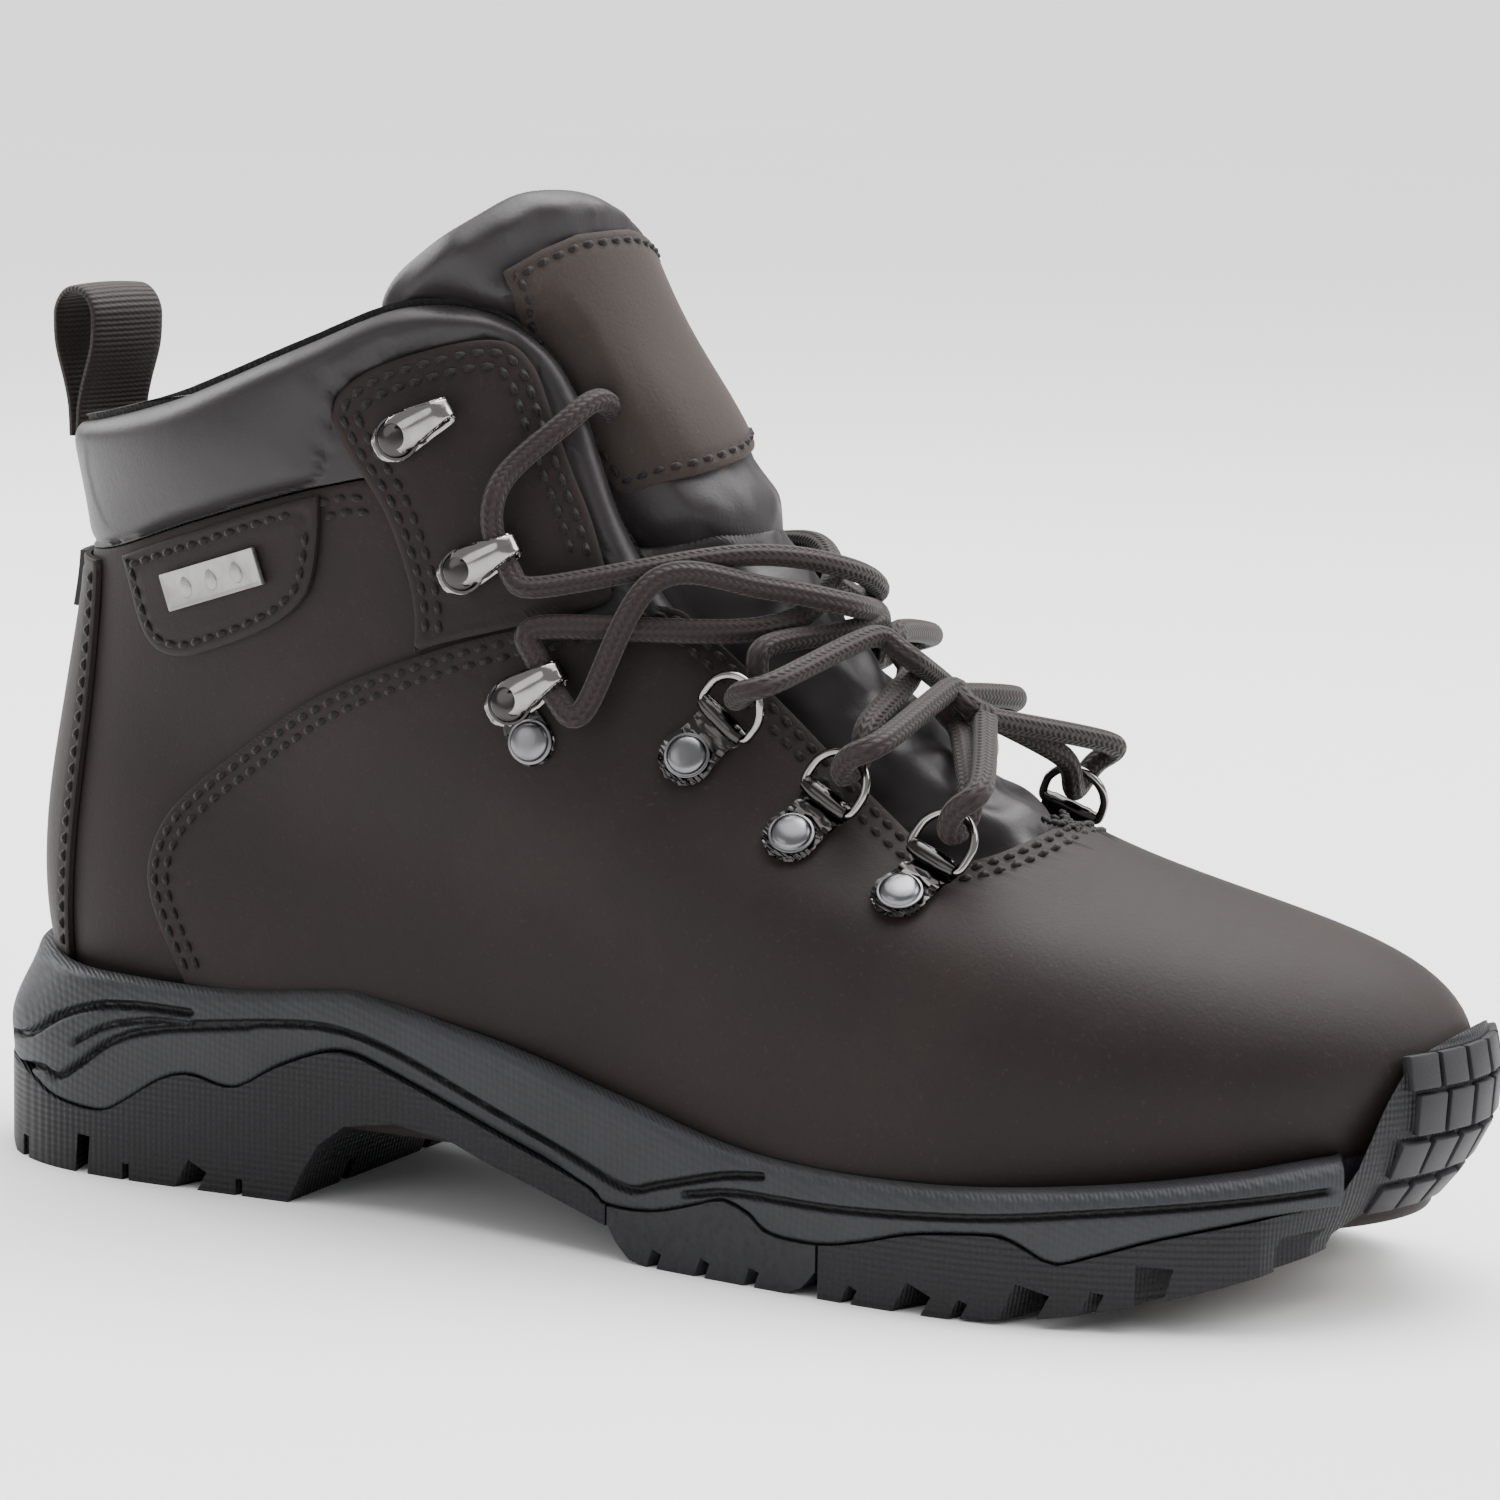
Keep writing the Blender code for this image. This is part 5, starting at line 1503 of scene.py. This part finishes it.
def sweepRound(name, line, radius, sides=16, closed=False, flat=1.0):
    # a cord or wire along points, with its length and turn as a UV map
    line = np.asarray(line, float)
    count = len(line)
    if closed:
        along = np.roll(line, -1, axis=0) - np.roll(line, 1, axis=0)
    else:
        along = np.gradient(line, axis=0)
    along /= np.linalg.norm(along, axis=1, keepdims=True)
    normal = np.cross(along[0], (0.3, 0.2, 1.0))
    normals = []
    for tangent in along:
        normal = normal - tangent * (normal @ tangent)
        normal = normal / np.linalg.norm(normal)
        normals.append(normal)
    normals = np.array(normals)
    if closed:  # the twist left over at the join is shared out
        first, last = normals[0], normals[-1] - along[0] * (normals[-1] @ along[0])
        slip = math.atan2(np.cross(last, first) @ along[0], last @ first)
        turns = slip * np.arange(count) / count
        normals = (normals * np.cos(turns)[:, None]
                   + np.cross(along, normals) * np.sin(turns)[:, None])
    across = np.cross(along, normals)
    turn = np.arange(sides) * 2 * math.pi / sides
    far = chordLengths(line)
    points = (line[:, None] + normals[:, None] * (np.cos(turn) * radius)[:, None]
              + across[:, None] * (np.sin(turn) * radius * flat)[:, None]).reshape(-1, 3)
    faces, wraps = [], []
    for i in range(count if closed else count - 1):
        k = (i + 1) % count
        ahead = far[i + 1] if i + 1 < count else far[-1] + np.linalg.norm(line[0] - line[-1])
        for j in range(sides):
            n = (j + 1) % sides
            faces.append((i * sides + j, i * sides + n, k * sides + n, k * sides + j))
            wraps += [(far[i] * mm, j / sides), (far[i] * mm, (j + 1) / sides),
                      (ahead * mm, (j + 1) / sides), (ahead * mm, j / sides)]
    if not closed:
        faces += [tuple(range(sides))[::-1], tuple((count - 1) * sides + j for j in range(sides))]
        wraps += [(0.0, 0.5)] * sides + [(far[-1] * mm, 0.5)] * sides
    thing = newMesh(name, points, faces)
    thing.data.uv_layers.new(name="along").data.foreach_set("uv", np.ravel(wraps))
    faceOut(thing)
    smoothShade(thing, 70)
    return thing


def ringLine(seat):
    path = [(0.0, -5.3), (0.0, -2.6), (0.0, 0.0), (0.0, 2.6), (0.0, 5.3), (1.0, 6.2)]
    path += [(3.2 + (fittings["ringReach"] - 3.2) * math.cos(math.radians(turn)),
              fittings["ringHalf"] * math.sin(math.radians(turn))) for turn in range(80, -81, -16)]
    path += [(1.0, -6.2)]
    return [seat.point(a, b, 0) for a, b in path]


def fit(shape, name, seat, finish, slot, *nodes):
    thing = seat.put(copyOf(shape, name))
    coat(thing, finish)
    settle(thing, "boot", slot, *nodes)


def makeFittings():
    rivet, clip, hook, foot = makeRivet(), makeClip(), makeHook(), makeFoot()
    for side, word in ((-1, "outer"), (1, "inner")):
        for i, spots in enumerate(fittings["clips"]):
            tag = word + "_" + str(i + 1)
            seat = seatOn(*spots, side)
            fit(clip, "ringClip." + tag, seat, darkNickel, "black_nickel", "ring_clip_" + tag)
            fit(rivet, "clipRivet." + tag, seat, satinNickel, "satin_nickel",
                "clip_rivet_" + tag)
            hinge = seat.pitched(fittings["barAt"], fittings["barHeight"], fittings["ringTilt"])
            ring = sweepRound("dRing." + tag, curveThrough(ringLine(hinge), 0.5, closed=True)[:-1],
                              fittings["ringWire"], 14, closed=True)
            coat(ring, blackNickel)
            settle(ring, "d_ring_" + tag, "black_nickel", "d_ring_" + tag)
        for i, spots in enumerate(fittings["hooks"]):
            tag = word + "_" + str(i + 1)
            seat = seatOn(*spots, side)
            fit(hook, "laceHook." + tag, seat, blackNickel, "black_nickel", "lace_hook_" + tag)
            if i == len(fittings["hooks"]) - 1:
                aside = seat.across * side
                sideways = Seat(seat.origin, aside, np.cross(seat.out, aside), seat.out)
                fit(foot, "hookFoot." + tag, sideways, darkNickel, "black_nickel")
                second = Seat(seat.point(0, side * fittings["secondRivet"], -0.1), seat.forward,
                              seat.across, seat.out)
                fit(rivet, "lockRivet." + word, second, satinNickel, "satin_nickel",
                    "lock_rivet_" + word)
            fit(rivet, "hookRivet." + tag, seat, darkNickel, "satin_nickel", "hook_rivet_" + tag)
    for thing in (rivet, clip, hook, foot):
        bpy.data.objects.remove(thing, do_unlink=True)


def makeBadge():
    # a framed plate with three raised drops
    seat = seatOn((64.0, 124.6), (76.0, 128.5), -1, 2.35)
    plate = bareShape("cube", size=1.0)
    plate.data.transform(Matrix.Diagonal((26.0, 7.6, 1.2, 1.0)))
    plate.data.transform(Matrix.Translation((0, 0, 0.6)))
    pickFaces(plate, lambda face: face.normal.z > 0.9)
    bpy.ops.mesh.inset(thickness=0.7)
    bpy.ops.transform.translate(value=(0, 0, -0.3))
    bpy.ops.object.mode_set(mode="OBJECT")
    soften(plate, 0.18, 30)
    drops = []
    for at in (-7.0, 0.0, 7.0):
        drop = bareShape("uv_sphere", segments=20, ring_count=12, radius=1.0)
        for spot in drop.data.vertices:
            x, y, z = spot.co
            taper = 1 - 0.42 * max(0.0, y) ** 1.5
            spot.co = (at + x * 1.55 * taper, y * 2.2, 0.9 + z * 0.5 * taper)
        drops.append(drop)
    thing = joinAll([plate] + drops, "badgePlate")
    seat.put(thing)
    smoothShade(thing, 40)
    coat(thing, brushedPlate)
    settle(thing, "boot", "satin_nickel", "badge_plate")


makeFittings()
makeBadge()
print("fittings riveted")


# ---- the lace, the pull loop and its tape
lace = {"radius": 2.42, "flat": 0.9, "step": 0.75}
lacePath = [
    (139.7, -19.0, 138.1), (139.4, -15.9, 146.6), (141.4, -15.2, 157.2), (141.1, -22.7, 163.4),
    (138.2, -30.8, 159.4), (129.5, -36.9, 150.3), (127.9, -40.7, 144.8), (127.5, -40.7, 139.5),
    (129.1, -40.7, 134.7), (132.2, -40.3, 130.7), (136.8, -40.0, 128.1), (171.1, -19.7, 134.8),
    (184.6, 2.8, 130.3), (176.7, 24.0, 122.6), (137.4, 40.4, 120.7), (137.5, 40.8, 115.4),
    (139.4, 41.3, 110.8), (142.9, 41.3, 107.0), (147.7, 41.4, 104.8), (156.9, 29.5, 129.5),
    (174.7, 17.2, 124.5), (187.5, 5.8, 120.0), (179.2, -26.4, 118.5), (178.5, -26.7, 112.5),
    (175.9, -31.0, 108.2), (179.3, -36.1, 111.0), (186.1, -36.5, 113.1), (193.3, -7.6, 119.5),
    (196.8, -4.9, 117.0), (199.9, -2.1, 114.4), (197.8, 23.3, 103.7), (198.2, 25.5, 98.2),
    (196.4, 31.2, 95.1), (199.3, 34.8, 99.9), (205.7, 34.0, 103.2), (204.6, 1.3, 107.5),
    (205.3, 1.5, 103.5), (207.8, 1.7, 101.6), (219.6, -18.6, 93.0), (220.5, -21.6, 87.9),
    (219.3, -27.8, 85.7), (221.6, -30.4, 91.3), (226.2, -28.4, 95.4), (213.3, 1.8, 103.6),
    (213.5, 1.8, 104.3), (212.9, 1.8, 104.0), (226.5, 34.2, 95.7), (221.8, 35.7, 91.5),
    (219.5, 32.6, 86.1), (221.0, 26.7, 88.8), (220.2, 24.0, 94.1), (210.1, 1.6, 105.9),
    (208.1, 1.5, 107.6), (206.1, 1.3, 109.3), (206.3, -30.7, 102.7), (199.9, -31.6, 99.6),
    (196.8, -27.9, 94.9), (198.5, -22.2, 98.1), (198.2, -20.1, 103.6), (196.6, 3.5, 110.8),
    (193.1, 5.5, 113.7), (191.2, 8.2, 118.3), (185.6, 37.1, 114.0), (178.7, 36.8, 111.6),
    (175.5, 31.8, 108.4), (178.1, 27.3, 112.6), (178.6, 26.6, 118.5), (188.8, -5.9, 124.7),
    (176.3, -20.0, 128.8), (158.2, -31.8, 130.3), (147.8, -40.8, 104.6), (143.0, -40.9, 106.9),
    (139.6, -40.9, 110.6), (137.6, -40.6, 115.3), (137.6, -40.3, 120.6), (175.1, -21.5, 120.8),
    (181.0, -2.2, 127.0), (168.8, 17.4, 133.1), (136.9, 39.9, 128.1), (132.2, 40.3, 130.7),
    (129.1, 40.7, 134.7), (127.5, 40.7, 139.5), (127.9, 40.7, 144.8), (128.6, 37.0, 151.8),
    (137.0, 30.9, 161.5), (141.1, 22.8, 163.4), (141.4, 15.1, 157.2), (139.4, 15.8, 146.7),
    (139.6, 18.9, 138.1),
]


def smoothed(line, times):
    for _ in range(times):
        line = np.concatenate([line[:1], (line[:-2] + 2 * line[1:-1] + line[2:]) / 4, line[-1:]])
    return line


def makeLace():
    line = smoothed(curveThrough(lacePath, 1.6), 3)
    line = evenly(curveThrough(line, 0.8, fine=4), lace["step"])
    thing = sweepRound("shoeLace", line, lace["radius"], 18, flat=lace["flat"])
    coat(thing, lacing)
    settle(thing, "boot", "brown_braid", "lace")


loop = {"base": (13.0, 1.0, 153.0), "wide": 19.0, "tall": 25.0, "deep": 10.0, "tape": 1.5,
        "yaw": 15.0}


def makeLoop():
    yaw = math.radians(loop["yaw"])
    seat = Seat(np.array(loop["base"]), np.array([math.cos(yaw), -math.sin(yaw), 0.0]),
                np.array([math.sin(yaw), math.cos(yaw), 0.0]), np.array([0.0, 0.0, 1.0]))
    half = (loop["deep"] + loop["tape"]) / 2
    crown = loop["tall"] - half - loop["tape"] / 2
    path = [(-0.9, -6.0), (-1.3, 0.0), (-2.6, 5.0), (-half + 0.5, crown - 6.0)]
    path += bendLine((0.0, crown), half, 180, 0, 8)
    path += [(half - 0.5, crown - 6.0), (2.6, 5.0), (1.3, 0.0), (0.9, -6.0)]
    line = curveThrough(path, 0.7)
    far = chordLengths(line)
    along = np.gradient(line, axis=0)
    along /= np.linalg.norm(along, axis=1, keepdims=True)
    thickness = np.stack([-along[:, 1], along[:, 0]], -1)
    thin, wide = loop["tape"] / 2, loop["wide"] / 2
    ring = [(thin, -wide + 0.5), (thin, wide - 0.5), (thin * 0.5, wide), (-thin * 0.5, wide),
            (-thin, wide - 0.5), (-thin, -wide + 0.5), (-thin * 0.5, -wide), (thin * 0.5, -wide)]
    middleCuts = [(t, w) for t, span in ((thin, 1), (-thin, -1))
                  for w in np.linspace(-wide + 0.5, wide - 0.5, 14)[::span]]
    ring = middleCuts[:14] + ring[2:4] + middleCuts[14:] + ring[6:]
    points, wraps = [], []
    for spot, thick, at in zip(line, thickness, far):
        for push, side in ring:
            cup = 0.5 * (1 - (side / wide)**2) * math.sin(math.pi * at / far[-1])
            flat = spot + thick * (push + cup)
            points.append(seat.point(flat[0], side, flat[1]))
            wraps.append((at * mm, side * mm))
    thing = newMesh("pullLoop", points, loftFaces(len(line), len(ring)))
    corners = np.array([wraps[corner.vertex_index] for corner in thing.data.loops])
    thing.data.uv_layers.new(name="along").data.foreach_set("uv", corners.ravel())
    faceOut(thing)
    smoothShade(thing, 50)
    coat(thing, webbing)
    settle(thing, "pull_loop", "brown_webbing", "pull_loop")


def makeTab():
    # the loop's tape comes out again between the collar and the backstay
    corners = [(-14, 124.3), (14, 124.3), (14, 112.5), (-14, 112.5)]
    outline = []
    for (a0, z0), (a1, z1) in zip(corners, corners[1:] + corners[:1]):
        outline += [(a0 + (a1 - a0) * t, z0 + (z1 - z0) * t) for t in np.linspace(0, 1, 9)[:-1]]
    places = [(a, lastPlace(backRow.at(np.array([4.5]))[0][0], z, 1)[0][1]) for a, z in outline]
    thing, _ = makePanel("loopTape", np.array(places), flatDepth(3.3), flatDepth(2.1),
                         bands=(0.5, 1.5))
    coat(thing, paddingLeather, paddingLeather)
    settle(thing, "boot", "brown_webbing", "pull_loop_tab")


makeLace()
makeLoop()
makeTab()
print("laced up")


# ---- the pieces inside keep their shape and get their finish
bare = {"insole_board": fibreBoard, "heel_counter": fibreBoard, "toe_puff": fibreBoard,
        "shank": springSteel, "footbed": blackMesh}
for name, finish in bare.items():
    coat(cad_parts[name], finish)

ground = bareShape("plane", size=stage["floor"])
ground.name = "floor"
pale = Finish("paleFloor", Roughness=0.85)
pale.set("BaseColor", pale.mix((0.86, 0.86, 0.865), (0.9, 0.9, 0.9), pale.noise(2.0)))
coat(ground, pale.material)
